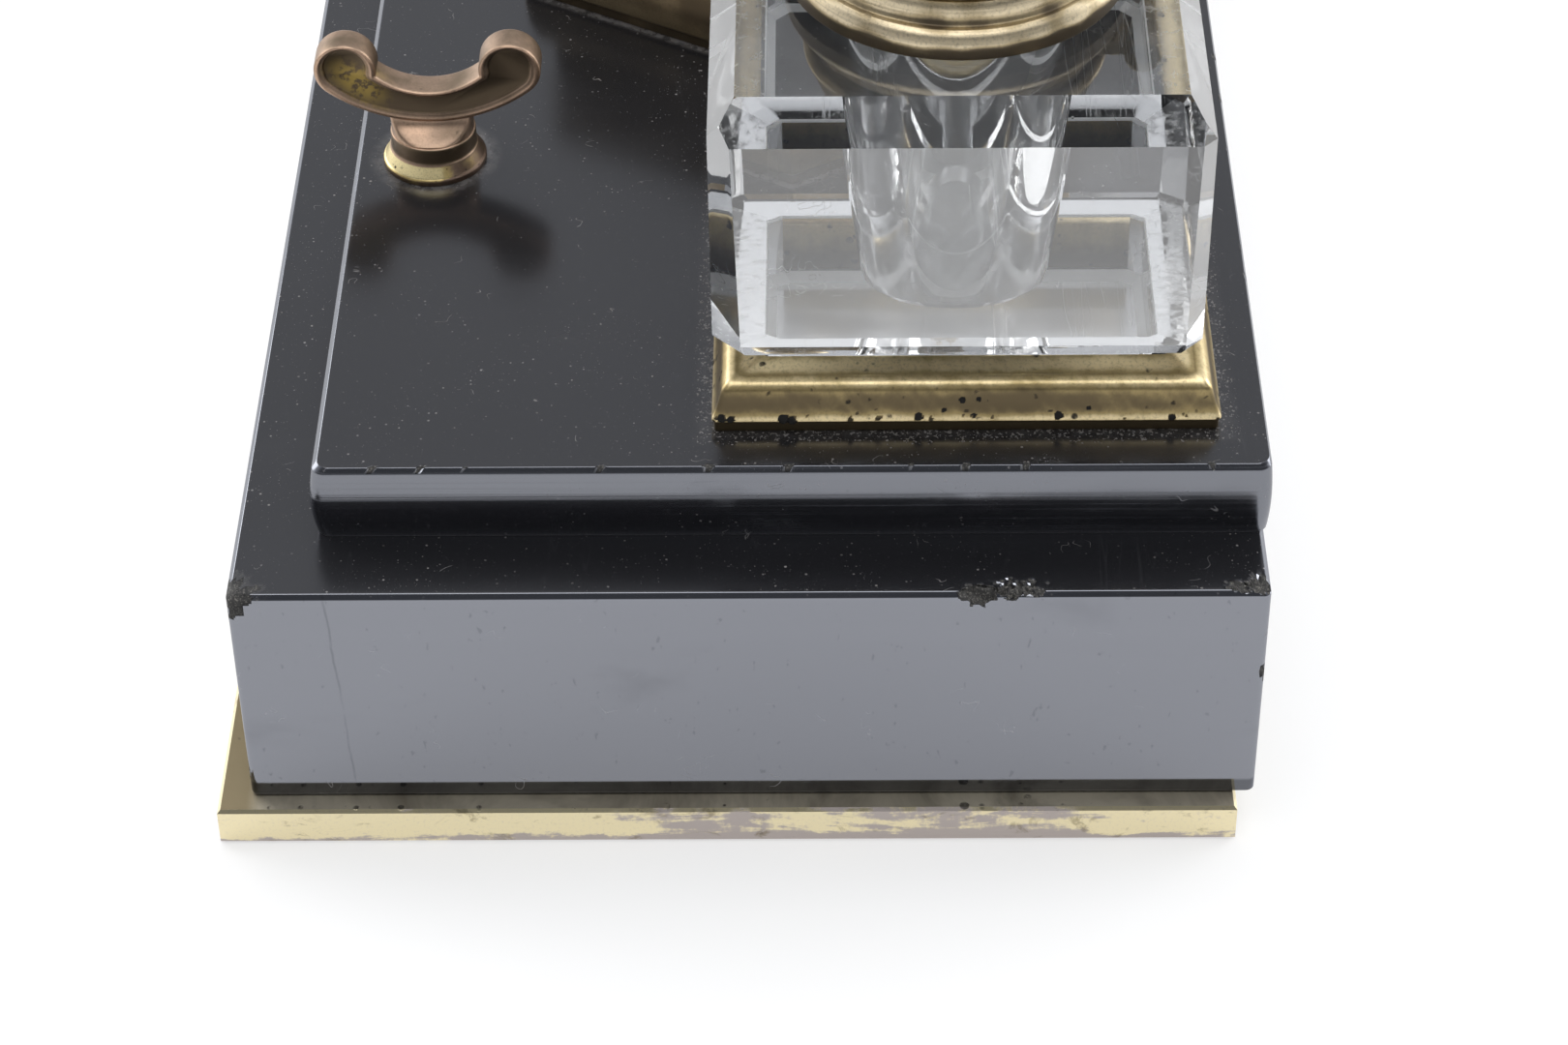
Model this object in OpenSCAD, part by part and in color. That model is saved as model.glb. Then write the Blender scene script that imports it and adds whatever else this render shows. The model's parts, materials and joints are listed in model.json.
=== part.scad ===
// Desk inkstand: polished black stone base in two steps on a brass plate, a square glass
// inkwell at each end, a pen rest in front of each and a hexagonal stamp box between them.
// Millimetres. X runs along the stand, -Y faces the writer, +Z is up.
// The origin is the centre of the plate's underside.

/* [Stone base] */
// Length of the lower block
block_l = 279; // [262:1:330]
// Depth of the lower block, front to back
block_d = 127; // [122:1:160]
// Height of the lower block
block_h = 33.7; // [26:0.1:48]
// Easing along the edges of the lower block
block_ease = 0.6; // [0.3:0.1:1.5]
// Bare ledge in front of the upper slab
ledge_front = 10.5; // [6:0.5:14]
// Bare ledge at each end of the upper slab
ledge_end = 11.2; // [6:0.1:16]
// Thickness of the upper slab
slab_t = 10.5; // [8:0.1:16]
// How far the middle of the slab's cushion edge stands out
slab_bulge = 0.55; // [0.2:0.05:1.2]
// Easing of the slab's top edge
slab_ease = 0.7; // [0.3:0.1:1.5]

/* [Brass plate] */
// Thickness of the plate
plate_t = 5.6; // [4.6:0.1:9]
// How far the plate shows in front of the block
plate_lip = 4.1; // [1:0.1:6]
// How far the plate shows at each end of the block
plate_end_lip = 2.8; // [0.5:0.1:6]
// How far the plate stays inside the block at the back
plate_back_set = 2.3; // [0.5:0.1:4]
// Easing along the plate's edges
plate_ease = 0.4; // [0.2:0.1:1]
// Brass left above the nut recesses in the plate
plate_web = 2; // [1.2:0.1:2.4]

/* [Inkwell frame] */
// Outer width of the square frame
frame_w = 62.6; // [58:0.1:70]
// Height of the frame above the slab
frame_h = 7.5; // [6.9:0.1:9.5]
// Width of the frame's wall at its foot
frame_wall = 6.4; // [5.8:0.1:7.4]
// Height of the plain foot under the moulding
foot_h = 1.6; // [1:0.1:2]
// How far the foot is set back under the moulding
foot_set = 0.3; // [0.1:0.05:0.6]
// How far the moulding's face leans back
face_lean = 1.3; // [0.6:0.1:1.7]
// Height of the moulding's face above the foot
face_h = 3.8; // [3.2:0.1:4.2]
// Depth of the rounded roll above the face
roll_w = 1.6; // [1:0.1:2]
// Height of the rounded roll above the face
roll_h = 0.95; // [0.6:0.05:1.1]
// Depth of the tapped stud holes in the frame
frame_stud_grip = 4; // [3:0.1:4.4]
// Space from the slab's end to the frame
frame_end_gap = 7.1; // [4:0.1:12]
// Space from the slab's back edge to the frame
frame_back_gap = 5.4; // [3:0.1:12]

/* [Glass inkwell] */
// Width of the square glass
glass_w = 59.8; // [57:0.1:64]
// Height of the glass above its shoulder
glass_h = 34.7; // [28:0.1:44]
// Height of the glass's shoulder above the slab
glass_rise = 11; // [10:0.1:13]
// Cut along the glass's top edges
glass_bevel = 4.4; // [2:0.1:5.5]
// Cut down the glass's four corners, at the shoulder
glass_corner = 3.7; // [2.5:0.1:6]
// How much narrower the corner cuts are at the top
corner_lean = 0.9; // [0:0.1:1.5]
// Small cut round the glass's lower edge
glass_arris = 0.9; // [0.4:0.1:1.5]
// Gap between the glass foot and the frame, each side
foot_clear = 2.6; // [1.9:0.1:3.2]
// How far the foot flares out under the shoulder
foot_flare = 1.8; // [0.8:0.1:2.4]
// Height of the foot's flare
foot_flare_h = 3; // [2:0.1:3.4]
// Cut round the underside of the foot
foot_cut = 1.1; // [0.5:0.1:1.8]
// Cut down the foot's four corners
foot_corner = 1.9; // [1:0.1:3]
// How far the glass stands off the frame's middle, towards the writer
glass_slip = 1.2; // [0:0.1:1.4]
// Radius at the bottom of the well
well_r = 11.6; // [9:0.1:13]
// Radius at the neck of the well
neck_r = 15.2; // [13.6:0.1:15.6]
// Radius of the well's flared mouth
mouth_r = 16.8; // [16.2:0.1:17.2]
// Depth of the flare at the mouth
mouth_h = 6; // [4:0.1:8]
// Thickness of glass under the well
well_floor = 8.6; // [5:0.1:12]
// Rounding at the bottom of the well
well_fillet = 2; // [1:0.1:4]

/* [Collar and lid] */
// Radius of the collar at its widest
collar_r = 20.8; // [20:0.1:22.5]
// Height of the collar
collar_h = 7.8; // [7:0.1:10]
// Radius of the collar's opening
collar_bore = 12.5; // [11:0.1:13.2]
// Height of the seat that holds the collar's band off the glass
collar_lift = 1.7; // [1:0.1:2]
// How far the seat is set back under the band
collar_set = 2.8; // [2:0.1:3.2]
// Height of the collar's plain band
collar_band = 1.5; // [1:0.1:2]
// Depth of the roll above the band
collar_roll_w = 1.3; // [0.8:0.1:1.6]
// Height of the roll above the band
collar_roll_h = 1.9; // [1.2:0.1:2]
// Depth of the cove above the roll
cove_w = 1.1; // [0.6:0.1:1.4]
// Height of the cove above the roll
cove_h = 0.8; // [0.4:0.1:1]
// Depth of the spigot that centres the collar in the mouth
spigot_h = 1.4; // [0.8:0.1:2]
// Gap between the spigot and the mouth
spigot_clear = 0.4; // [0.2:0.1:0.8]
// Radius of the collar's flat top
collar_top_r = 17.5; // [17.3:0.1:18]
// Radius of the lid at its bead
lid_r = 18.8; // [18:0.1:20]
// How far the bead stands out from the lid's rim
lid_bead = 1.5; // [0.8:0.1:2]
// Height of the lid's bead
lid_bead_h = 2; // [1.4:0.1:3]
// Radius of the dome where it leaves the bead
dome_r = 17.6; // [16.8:0.1:18.6]
// Height of the lid
lid_h = 13; // [10:0.1:20]
// Height of the shadow groove under the lid's bead
lid_groove = 1.4; // [0.8:0.1:2]
// Wall of the lid
lid_wall = 1.8; // [1.2:0.1:2.6]
// Thickness of the leather seal
seal_t = 1.3; // [0.8:0.1:2]
// Radius of the leather seal
seal_r = 14.2; // [13.6:0.1:15]
// Radius of the lid's ball knob
knob_r = 4.4; // [3:0.1:5.5]

/* [Hinges] */
// Radius of a hinge pin
pin_r = 1; // [0.7:0.05:1.3]
// Running clearance round a hinge pin
pin_clear = 0.05; // [0.02:0.01:0.08]
// Wall round a hinge pin
knuckle_wall = 1.2; // [0.9:0.1:1.8]
// Length of each hinge knuckle
knuckle_l = 4.6; // [3.5:0.1:8]
// Gap between neighbouring knuckles
knuckle_gap = 0.3; // [0.2:0.05:0.5]
// How far the lid's knuckles stand inside the collar's edge
knuckle_bite = 0.45; // [0.2:0.05:0.8]

/* [Pen rest] */
// Radius of the pen rest's flange
flange_r = 6.9; // [6:0.1:9]
// Height of the flange's edge
flange_h = 0.8; // [0.5:0.1:1.2]
// Height of the sweep from the flange to the disc
sweep_h = 1.9; // [1:0.1:2.4]
// Height of the pedestal
pedestal_h = 5; // [4:0.1:8]
// Depth of the tapped stud hole in the pedestal
rest_stud_grip = 4; // [3:0.1:6]
// Radius of the pedestal's upper disc
pedestal_r = 5.7; // [5:0.1:6.5]
// Step from the disc's edge in to the foot of the neck
rest_neck_step = 0.2; // [0.1:0.05:0.6]
// Height of the neck under the crescent
rest_neck_h = 2; // [1.2:0.1:4]
// Thickness of the crescent along the pen
crescent_t = 4.4; // [3:0.1:7]
// Height of the crescent at its middle
crescent_h = 4.7; // [3.8:0.1:6]
// Radius of the pen cradle
cradle_r = 10.4; // [9.6:0.1:12]
// Radius of each scroll
scroll_r = 4.1; // [3.4:0.05:4.4]
// Distance from the middle to each scroll's centre
scroll_y = 10.85; // [10.2:0.05:12]
// Height of each scroll's centre above the cradle
scroll_z = 3.25; // [2.9:0.05:3.8]
// Width of the raised rim on the crescent's faces
rim_w = 0.85; // [0.5:0.05:1.2]
// Depth of the sunk panel inside the rim
panel_depth = 0.45; // [0.2:0.05:0.8]
// Space from the slab's front edge to the pen rest's axis
rest_front_gap = 10.35; // [9:0.05:16]
// Space from the slab's end to the pen rest's axis
rest_end_gap = 66; // [56:0.5:74]

/* [Stamp box] */
// Distance from the box's axis to its foot's corners
box_r = 44; // [40:0.5:47]
// Height of the box's body
box_h = 24; // [20:0.5:36]
// Wall of the box
box_wall = 2.4; // [1.8:0.1:3.5]
// Floor of the box
box_floor = 5; // [4:0.1:7]
// Height of the moulded foot round the box
box_foot_h = 10.4; // [9.6:0.1:14]
// How far the moulded foot stands out from the walls
box_foot_w = 3.7; // [3.2:0.1:5]
// Height of the face of the box's foot
box_face_h = 6.4; // [4.5:0.1:7]
// Height of the rim under the lid
rim_h = 2.4; // [1.5:0.1:4]
// How far the rim stands out from the walls
rim_out = 0.8; // [0.3:0.1:1.5]
// Depth of the tapped stud hole in the floor
box_stud_grip = 3; // [2:0.1:3.4]
// Height of the lid's plain band
lid_band = 2.6; // [1.5:0.1:4]
// Height of the box's lid
box_lid_h = 11; // [8:0.5:16]
// Distance from the axis to the flats of the lid's crown
crown_a = 13; // [9:0.5:18]
// Radius of the box's knob
box_knob_r = 5; // [4:0.1:7]

/* [Fixings] */
// Radius of the studs under the frames and pen rests
stud_r = 2; // [1.5:0.1:2.2]
// Radius of the stud under the box
box_stud_r = 2.5; // [2:0.1:3]
// Clearance round a stud in the stone and the plate
stud_clear = 0.4; // [0.2:0.1:0.8]
// Clearance of the studs in their tapped holes
thread_clear = 0.05; // [0.02:0.01:0.1]
// Thickness of the washers
washer_t = 0.8; // [0.5:0.1:1.2]
// Height of the nuts
nut_h = 2.2; // [1.8:0.1:2.4]
// How far a washer reaches past its nut's corners
washer_lip = 0.6; // [0.3:0.1:1]
// Room round a washer in its recess
recess_room = 0.6; // [0.3:0.1:1]
// Depth of the pen rests' nut pockets under the block
pocket_h = 9; // [6:0.5:14]
// How far the pen rests' studs reach past their nuts
stud_tail = 1; // [0.5:0.1:2]

/* [Hidden] */
$fn = 64;

// A cut runs this far past the surface it opens
over = 1;

// A turned knob's foot, neck and neck height, as shares of its ball's radius
knob_foot = 0.72;
knob_neck = 0.4;
knob_neck_h = 0.8;

// Share of the box's rim that curves out from the wall
rim_curve = 0.6;

block_z = plate_t;
slab_z = block_z + block_h;
deck_z = slab_z + slab_t;
plate_l = block_l + 2 * plate_end_lip;
plate_d = block_d + plate_lip - plate_back_set;
block_front = plate_lip - plate_d / 2;
block_y = block_front + block_d / 2;
slab_l = block_l - 2 * ledge_end;
slab_d = block_d - ledge_front;
slab_front = block_front + ledge_front;
slab_back = slab_front + slab_d;
slab_y = (slab_front + slab_back) / 2;

well_x = slab_l / 2 - frame_end_gap - frame_w / 2;
frame_y = slab_back - frame_back_gap - frame_w / 2;
well_y = frame_y - glass_slip;
rest_x = slab_l / 2 - rest_end_gap;
rest_y = slab_front + rest_front_gap;
box_y = slab_y;

// Edge mouldings are lists of [set-back, height], from the foot up
ARC_STEPS = 8;
function arc_steps(n = ARC_STEPS) = [for (i = [0 : n]) i / n];

plate_edge = [[plate_ease, 0], [0, plate_ease], [0, plate_t - plate_ease], [plate_ease, plate_t]];
block_edge = [[block_ease, 0], [0, block_ease], [0, block_h - block_ease], [block_ease, block_h]];
slab_edge = concat(
    [for (t = arc_steps()) [slab_bulge * pow(2 * t - 1, 2), t * (slab_t - slab_ease)]],
    [[slab_bulge + slab_ease, slab_t]]);

// Foot, leaning face, roll and hollow of a moulding with a face of height f, to a set-back w and height h
function moulding(f, w, h) =
    let (face_top = foot_h + f, roll_top = face_top + roll_h, roll_end = face_lean + roll_w) concat(
        [[foot_set, 0], [foot_set, foot_h - foot_set], [0, foot_h]],
        [for (t = arc_steps()) if (t > 0) [face_lean * t * t, foot_h + f * t]],
        [for (t = arc_steps()) if (t > 0)
            [face_lean + roll_w * (1 - cos(90 * t)), face_top + roll_h * sin(90 * t)]],
        [for (t = arc_steps()) if (t > 0)
            [roll_end + (w - roll_end) * t, roll_top + (h - roll_top) * t * t]]);

function mirrored(half, edge) = concat(
    [for (p = edge) [half - p[0], p[1]]],
    [for (i = [len(edge) - 1 : -1 : 0]) [edge[i][0] - half, edge[i][1]]]);

// Solid between two opposite moulded sides, facing +-X
module moulded_pair(half, edge, reach) {
    rotate([90, 0, 0])
        linear_extrude(height = reach, center = true)
            polygon(mirrored(half, edge));
}

// Rectangular solid with the same moulding on its four sides
module moulded_box(size_x, size_y, edge) {
    intersection() {
        moulded_pair(size_x / 2, edge, size_y + 2 * over);
        rotate([0, 0, 90])
            moulded_pair(size_y / 2, edge, size_x + 2 * over);
    }
}

// Hexagonal solid with flats facing +-Y and the same moulding on its six sides
module moulded_hexagon(apothem, edge) {
    intersection_for (turn = [30, 90, 150])
        rotate([0, 0, turn])
            moulded_pair(apothem, edge, 4 * apothem);
}

function hex_apothem(r) = r * cos(30);

// Stud places, washers and nuts
frame_stud_off = frame_w / 2 - frame_wall / 2 - face_lean / 2;
frame_stud_spots = [for (side = [-1, 1]) for (k = [-1, 1])
    [side * (well_x + k * frame_stud_off), frame_y + k * frame_stud_off]];
rest_spots = [for (side = [-1, 1]) [side * rest_x, rest_y]];
box_spot = [[0, box_y]];
recess_top = plate_t - plate_web;
stud_end = recess_top - washer_t - nut_h;
pocket_top = block_z + pocket_h;
pocket_stud_end = pocket_top - washer_t - nut_h - stud_tail;

function nut_r(bolt_r) = 2 * bolt_r;
function washer_r(bolt_r) = nut_r(bolt_r) + washer_lip;
function recess_r(bolt_r) = washer_r(bolt_r) + recess_room;

module at(spots) {
    for (p = spots)
        translate([p[0], p[1], 0])
            children();
}

module drill(spots, r, z0, z1) {
    at(spots)
        translate([0, 0, z0])
            cylinder(r = r, h = z1 - z0);
}

module washers(spots, bolt_r, top) {
    at(spots)
        translate([0, 0, top - washer_t])
            difference() {
                cylinder(r = washer_r(bolt_r), h = washer_t);
                translate([0, 0, -over])
                    cylinder(r = bolt_r + stud_clear / 2, h = washer_t + 2 * over);
            }
}

module nuts(spots, bolt_r, top) {
    at(spots)
        translate([0, 0, top - nut_h])
            difference() {
                cylinder(r = nut_r(bolt_r), h = nut_h, $fn = 6);
                translate([0, 0, -over])
                    cylinder(r = bolt_r + thread_clear, h = nut_h + 2 * over);
            }
}

module base_plate() {
    color("darkgoldenrod")
        difference() {
            moulded_box(plate_l, plate_d, plate_edge);
            drill(frame_stud_spots, stud_r + stud_clear, -over, plate_t + over);
            drill(frame_stud_spots, recess_r(stud_r), -over, recess_top);
            drill(box_spot, box_stud_r + stud_clear, -over, plate_t + over);
            drill(box_spot, recess_r(box_stud_r), -over, recess_top);
        }
}

module base_block() {
    color("dimgray")
        difference() {
            translate([0, block_y, block_z])
                moulded_box(block_l, block_d, block_edge);
            drill(frame_stud_spots, stud_r + stud_clear, block_z - over, slab_z + over);
            drill(box_spot, box_stud_r + stud_clear, block_z - over, slab_z + over);
            drill(rest_spots, stud_r + stud_clear, block_z - over, slab_z + over);
            drill(rest_spots, recess_r(stud_r), block_z - over, pocket_top);
        }
}

module top_slab() {
    color("dimgray")
        difference() {
            translate([0, slab_y, slab_z])
                moulded_box(slab_l, slab_d, slab_edge);
            drill(frame_stud_spots, stud_r + stud_clear, slab_z - over, deck_z + over);
            drill(box_spot, box_stud_r + stud_clear, slab_z - over, deck_z + over);
            drill(rest_spots, stud_r + stud_clear, slab_z - over, deck_z + over);
        }
}

frame_opening = frame_w - 2 * frame_wall;

module inkwell_frame(side) {
    color("goldenrod")
        difference() {
            translate([side * well_x, frame_y, deck_z])
                moulded_box(frame_w, frame_w, moulding(face_h, frame_wall, frame_h));
            translate([side * well_x - frame_opening / 2, frame_y - frame_opening / 2, deck_z - over])
                cube([frame_opening, frame_opening, frame_h + 2 * over]);
            drill(frame_stud_spots, stud_r + thread_clear, deck_z - over, deck_z + frame_stud_grip);
        }
}
module inkwell_frame_right() { inkwell_frame(1); }
module inkwell_frame_left() { inkwell_frame(-1); }

module frame_studs() {
    color("peru")
        drill(frame_stud_spots, stud_r, stud_end, deck_z + frame_stud_grip);
}
module frame_washers() {
    color("goldenrod")
        washers(frame_stud_spots, stud_r, recess_top);
}
module frame_nuts() {
    color("peru")
        nuts(frame_stud_spots, stud_r, recess_top - washer_t);
}

// The crescent's bottom arc runs tangent into the scrolls
bottom_drop = crescent_h + scroll_z;
bottom_r = (scroll_y * scroll_y + bottom_drop * bottom_drop - scroll_r * scroll_r)
    / (2 * (bottom_drop - scroll_r));
bottom_centre = bottom_r - crescent_h;
crescent_z = deck_z + pedestal_h + rest_neck_h;
cradle_z = crescent_z + crescent_h;
wedge_reach = 2 * bottom_r / (bottom_centre - scroll_z);
neck_reach = rest_neck_h + crescent_h / 2;

// Crescent outline in Y and Z about the cradle's low point, drawn in by an inset all round
module crescent_outline(inset = 0) {
    intersection() {
        difference() {
            translate([0, bottom_centre])
                circle(r = bottom_r - inset);
            translate([0, cradle_r])
                circle(r = cradle_r + inset);
        }
        polygon([[0, bottom_centre],
            [-scroll_y * wedge_reach, bottom_centre - 2 * bottom_r],
            [scroll_y * wedge_reach, bottom_centre - 2 * bottom_r]]);
    }
    for (side = [-1, 1])
        translate([side * scroll_y, scroll_z])
            circle(r = scroll_r - inset);
}

module crescent_slice(thick, inset = 0) {
    rotate([90, 0, 90])
        linear_extrude(height = thick, center = true)
            crescent_outline(inset);
}

module pedestal() {
    rotate_extrude()
        polygon(concat(
            [[0, 0], [flange_r, 0]],
            [for (t = arc_steps()) [pedestal_r + (flange_r - pedestal_r) * pow(1 - t, 2),
                                    flange_h + sweep_h * t]],
            [[pedestal_r, pedestal_h], [0, pedestal_h]]));
}

// The neck is nearly as wide as the disc, and its two broad faces sweep in to the crescent's thickness
module rest_neck() {
    foot = pedestal_r - rest_neck_step;
    waist = (crescent_t - panel_depth) / 2;
    sweep = concat(
        [[foot, flange_h]],
        [for (t = arc_steps()) [waist + (foot - waist) * pow(1 - t, 2), pedestal_h + rest_neck_h * t]],
        [[waist, pedestal_h + neck_reach]]);
    last = len(sweep) - 1;
    intersection() {
        cylinder(r = foot, h = pedestal_h + neck_reach);
        rotate([90, 0, 0])
            linear_extrude(height = 2 * pedestal_r, center = true)
                polygon(concat(sweep, [for (k = [0:last]) [-sweep[last - k][0], sweep[last - k][1]]]));
    }
}

module pen_rest(side) {
    panel_x = crescent_t / 2;
    color("sienna")
        difference() {
            translate([side * rest_x, rest_y, 0])
                union() {
                    difference() {
                        translate([0, 0, deck_z])
                            union() {
                                pedestal();
                                rest_neck();
                            }
                        translate([0, 0, cradle_z + bottom_centre])
                            rotate([0, 90, 0])
                                cylinder(r = bottom_r - rim_w / 2, h = 2 * flange_r + 2 * over, center = true);
                    }
                    translate([0, 0, cradle_z])
                        difference() {
                            crescent_slice(crescent_t);
                            for (face = [-1, 1])
                                translate([face * panel_x, 0, 0])
                                    crescent_slice(2 * panel_depth, rim_w);
                        }
                }
            drill(rest_spots, stud_r + thread_clear, deck_z - over, deck_z + rest_stud_grip);
        }
}
module pen_rest_right() { pen_rest(1); }
module pen_rest_left() { pen_rest(-1); }

module pen_rest_studs() {
    color("peru")
        drill(rest_spots, stud_r, pocket_stud_end, deck_z + rest_stud_grip);
}
module pen_rest_washers() {
    color("goldenrod")
        washers(rest_spots, stud_r, pocket_top);
}
module pen_rest_nuts() {
    color("peru")
        nuts(rest_spots, stud_r, pocket_top - washer_t);
}

// The glass stands on the slab inside the frame, and its shoulder clears the frame's rim
glass_z = deck_z + glass_rise;
glass_top = glass_z + glass_h;
glass_foot_w = frame_opening - 2 * foot_clear;
glass_edge = [[glass_arris, 0], [0, glass_arris], [0, glass_h - glass_bevel], [glass_bevel, glass_h]];
glass_foot_edge = concat(
    [[foot_cut, 0], [0, foot_cut]],
    [for (t = arc_steps()) [-foot_flare * (1 - cos(90 * t)), glass_rise - foot_flare_h * (1 - sin(90 * t))]],
    [[-foot_flare, glass_rise + glass_arris]]);
well_bottom = well_floor - glass_rise;

// Solid that cuts the four upright corners of a square of width w by a leg of c, less a lean at the top
module corner_cut(w, c, lean, h) {
    reach = sqrt(2) * (w - c + lean);
    set = sqrt(2) / 2 * lean;
    rotate([0, 0, 45])
        moulded_box(reach, reach, [[set, -over], [set, 0], [0, h], [0, h + over]]);
}

// The well's hollow, about its own axis, with heights from the glass's shoulder
module well_hollow() {
    rotate_extrude()
        polygon(concat(
            [[0, well_bottom]],
            [for (t = arc_steps()) [well_r - well_fillet * (1 - sin(90 * t)),
                                    well_bottom + well_fillet * (1 - cos(90 * t))]],
            [[neck_r, glass_h - mouth_h]],
            [for (t = arc_steps()) if (t > 0)
                [neck_r + (mouth_r - neck_r) * t * t, glass_h - mouth_h * (1 - t)]],
            [[mouth_r, glass_h + over], [0, glass_h + over]]));
}

module glass_well(side) {
    color("lightcyan", 0.5)
        translate([side * well_x, well_y, glass_z])
            difference() {
                union() {
                    intersection() {
                        moulded_box(glass_w, glass_w, glass_edge);
                        corner_cut(glass_w, glass_corner, corner_lean, glass_h);
                    }
                    translate([0, 0, -glass_rise])
                        intersection() {
                            moulded_box(glass_foot_w, glass_foot_w, glass_foot_edge);
                            corner_cut(glass_foot_w, foot_corner, 0, glass_z);
                        }
                }
                well_hollow();
            }
}
module glass_well_right() { glass_well(1); }
module glass_well_left() { glass_well(-1); }

// Hinge line at the back of the collar, level with the seat of the lid
knuckle_r = pin_r + pin_clear + knuckle_wall;
lid_seat = glass_top + collar_h;
hinge_y = collar_r + knuckle_r - knuckle_bite;
hinge_span = 3 * knuckle_l + 2 * knuckle_gap;

// A knuckle of a hinge along X, with a tongue that reaches back to the piece it belongs to
module knuckle(x0, tongue_y, tongue_z0, tongue_z1) {
    translate([x0, 0, 0])
        rotate([0, 90, 0])
            cylinder(r = knuckle_r, h = knuckle_l);
    translate([x0, -tongue_y, tongue_z0])
        cube([knuckle_l, tongue_y, tongue_z1 - tongue_z0]);
}

module hinge_bore(length) {
    translate([-length / 2 - over, 0, 0])
        rotate([0, 90, 0])
            cylinder(r = pin_r + pin_clear, h = length + 2 * over);
}

module hinge_pin(length) {
    translate([-length / 2, 0, 0])
        rotate([0, 90, 0])
            cylinder(r = pin_r, h = length);
}

outer_knuckles = [-hinge_span / 2, hinge_span / 2 - knuckle_l];

module at_well(side, z) {
    translate([side * well_x, well_y, z])
        children();
}

// Collar from the glass up: spigot, seat, plain band, roll, cove and upper roll
spigot_r = mouth_r - spigot_clear - spigot_h;
seat_r = collar_r - collar_set;
band_top = collar_lift + collar_band;
cove_r = collar_r - collar_roll_w;
cove_z = band_top + collar_roll_h;
upper_r = cove_r - cove_w;
upper_z = cove_z + cove_h;
collar_edge = concat(
    [[spigot_r, -spigot_h], [spigot_r, 0], [seat_r, 0], [seat_r, collar_lift], [collar_r, collar_lift]],
    [for (t = arc_steps()) [cove_r + collar_roll_w * cos(90 * t), band_top + collar_roll_h * sin(90 * t)]],
    [for (t = arc_steps()) if (t > 0) [cove_r - cove_w * sin(90 * t), cove_z + cove_h * (1 - cos(90 * t))]],
    [for (t = arc_steps()) if (t > 0)
        [collar_top_r + (upper_r - collar_top_r) * cos(90 * t), upper_z + (collar_h - upper_z) * sin(90 * t)]]);

module collar(side) {
    color("darkkhaki")
        at_well(side, glass_top)
            difference() {
                union() {
                    rotate_extrude()
                        polygon(concat([[collar_bore, -spigot_h]], collar_edge, [[collar_bore, collar_h]]));
                    translate([0, hinge_y, collar_h])
                        for (x = outer_knuckles)
                            knuckle(x, hinge_y - collar_top_r + knuckle_wall, -knuckle_r, -knuckle_gap);
                }
                translate([0, hinge_y, collar_h])
                    hinge_bore(hinge_span);
            }
}
module collar_right() { collar(1); }
module collar_left() { collar(-1); }

module lid_hinge_pin(side) {
    color("peru")
        at_well(side, lid_seat)
            translate([0, hinge_y, 0])
                hinge_pin(hinge_span);
}
module lid_hinge_pin_right() { lid_hinge_pin(1); }
module lid_hinge_pin_left() { lid_hinge_pin(-1); }

// Lid from its seat up: groove, bead, then a dome with a flat for the knob
lid_rim_r = lid_r - lid_bead;
dome_z = lid_groove + lid_bead_h;
lid_top_r = knob_r * knob_foot;
spindle_r = knob_r * knob_neck;
function dome(r, z, top_r, top_z) =
    [for (t = arc_steps()) [top_r + (r - top_r) * cos(90 * t), z + (top_z - z) * sin(90 * t)]];
function bead(t) = [lid_rim_r + lid_bead * sin(180 * t), lid_groove + lid_bead_h * t];

module lid(side) {
    color("darkkhaki")
        at_well(side, lid_seat)
            difference() {
                union() {
                    rotate_extrude()
                        polygon(concat(
                            [[0, 0], [lid_rim_r, 0], [lid_rim_r, lid_groove]],
                            [for (t = arc_steps()) bead(t)],
                            dome(dome_r, dome_z, lid_top_r, lid_h),
                            [[0, lid_h]]));
                    translate([0, hinge_y, 0])
                        knuckle(-knuckle_l / 2, hinge_y - lid_rim_r + knuckle_wall, knuckle_gap, knuckle_r);
                }
                translate([0, 0, -over])
                    cylinder(r = seal_r + spigot_clear / 2, h = seal_t + over);
                rotate_extrude()
                    polygon(concat(
                        [[0, seal_t - over / 2], [seal_r - lid_wall, seal_t - over / 2]],
                        dome(seal_r - lid_wall, seal_t, lid_top_r - spindle_r, lid_h - 2 * lid_wall),
                        [[0, lid_h - 2 * lid_wall]]));
                cylinder(r = spindle_r + thread_clear, h = lid_h + over);
                translate([0, hinge_y, 0])
                    hinge_bore(knuckle_l);
            }
}
module lid_right() { lid(1); }
module lid_left() { lid(-1); }

// Turned knob: spindle into the lid, foot, neck and ball
module turned_knob(r, grip) {
    foot = r * knob_foot;
    neck = r * knob_neck;
    neck_top = r * knob_neck_h;
    ball_start = asin(knob_neck);
    ball_z = neck_top + r * cos(ball_start);
    rotate_extrude()
        polygon(concat(
            [[0, -grip], [neck, -grip], [neck, 0], [foot, 0], [foot, foot - neck], [neck, 2 * (foot - neck)]],
            [for (t = arc_steps(12))
                let (a = ball_start + (180 - ball_start) * t)
                    [r * sin(a), ball_z - r * cos(a)]]));
}

module lid_knob(side) {
    color("goldenrod")
        at_well(side, lid_seat + lid_h)
            turned_knob(knob_r, 2 * lid_wall);
}
module lid_knob_right() { lid_knob(1); }
module lid_knob_left() { lid_knob(-1); }

module lid_seal(side) {
    color("saddlebrown")
        at_well(side, lid_seat)
            cylinder(r = seal_r, h = seal_t);
}
module lid_seal_right() { lid_seal(1); }
module lid_seal_left() { lid_seal(-1); }

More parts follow.
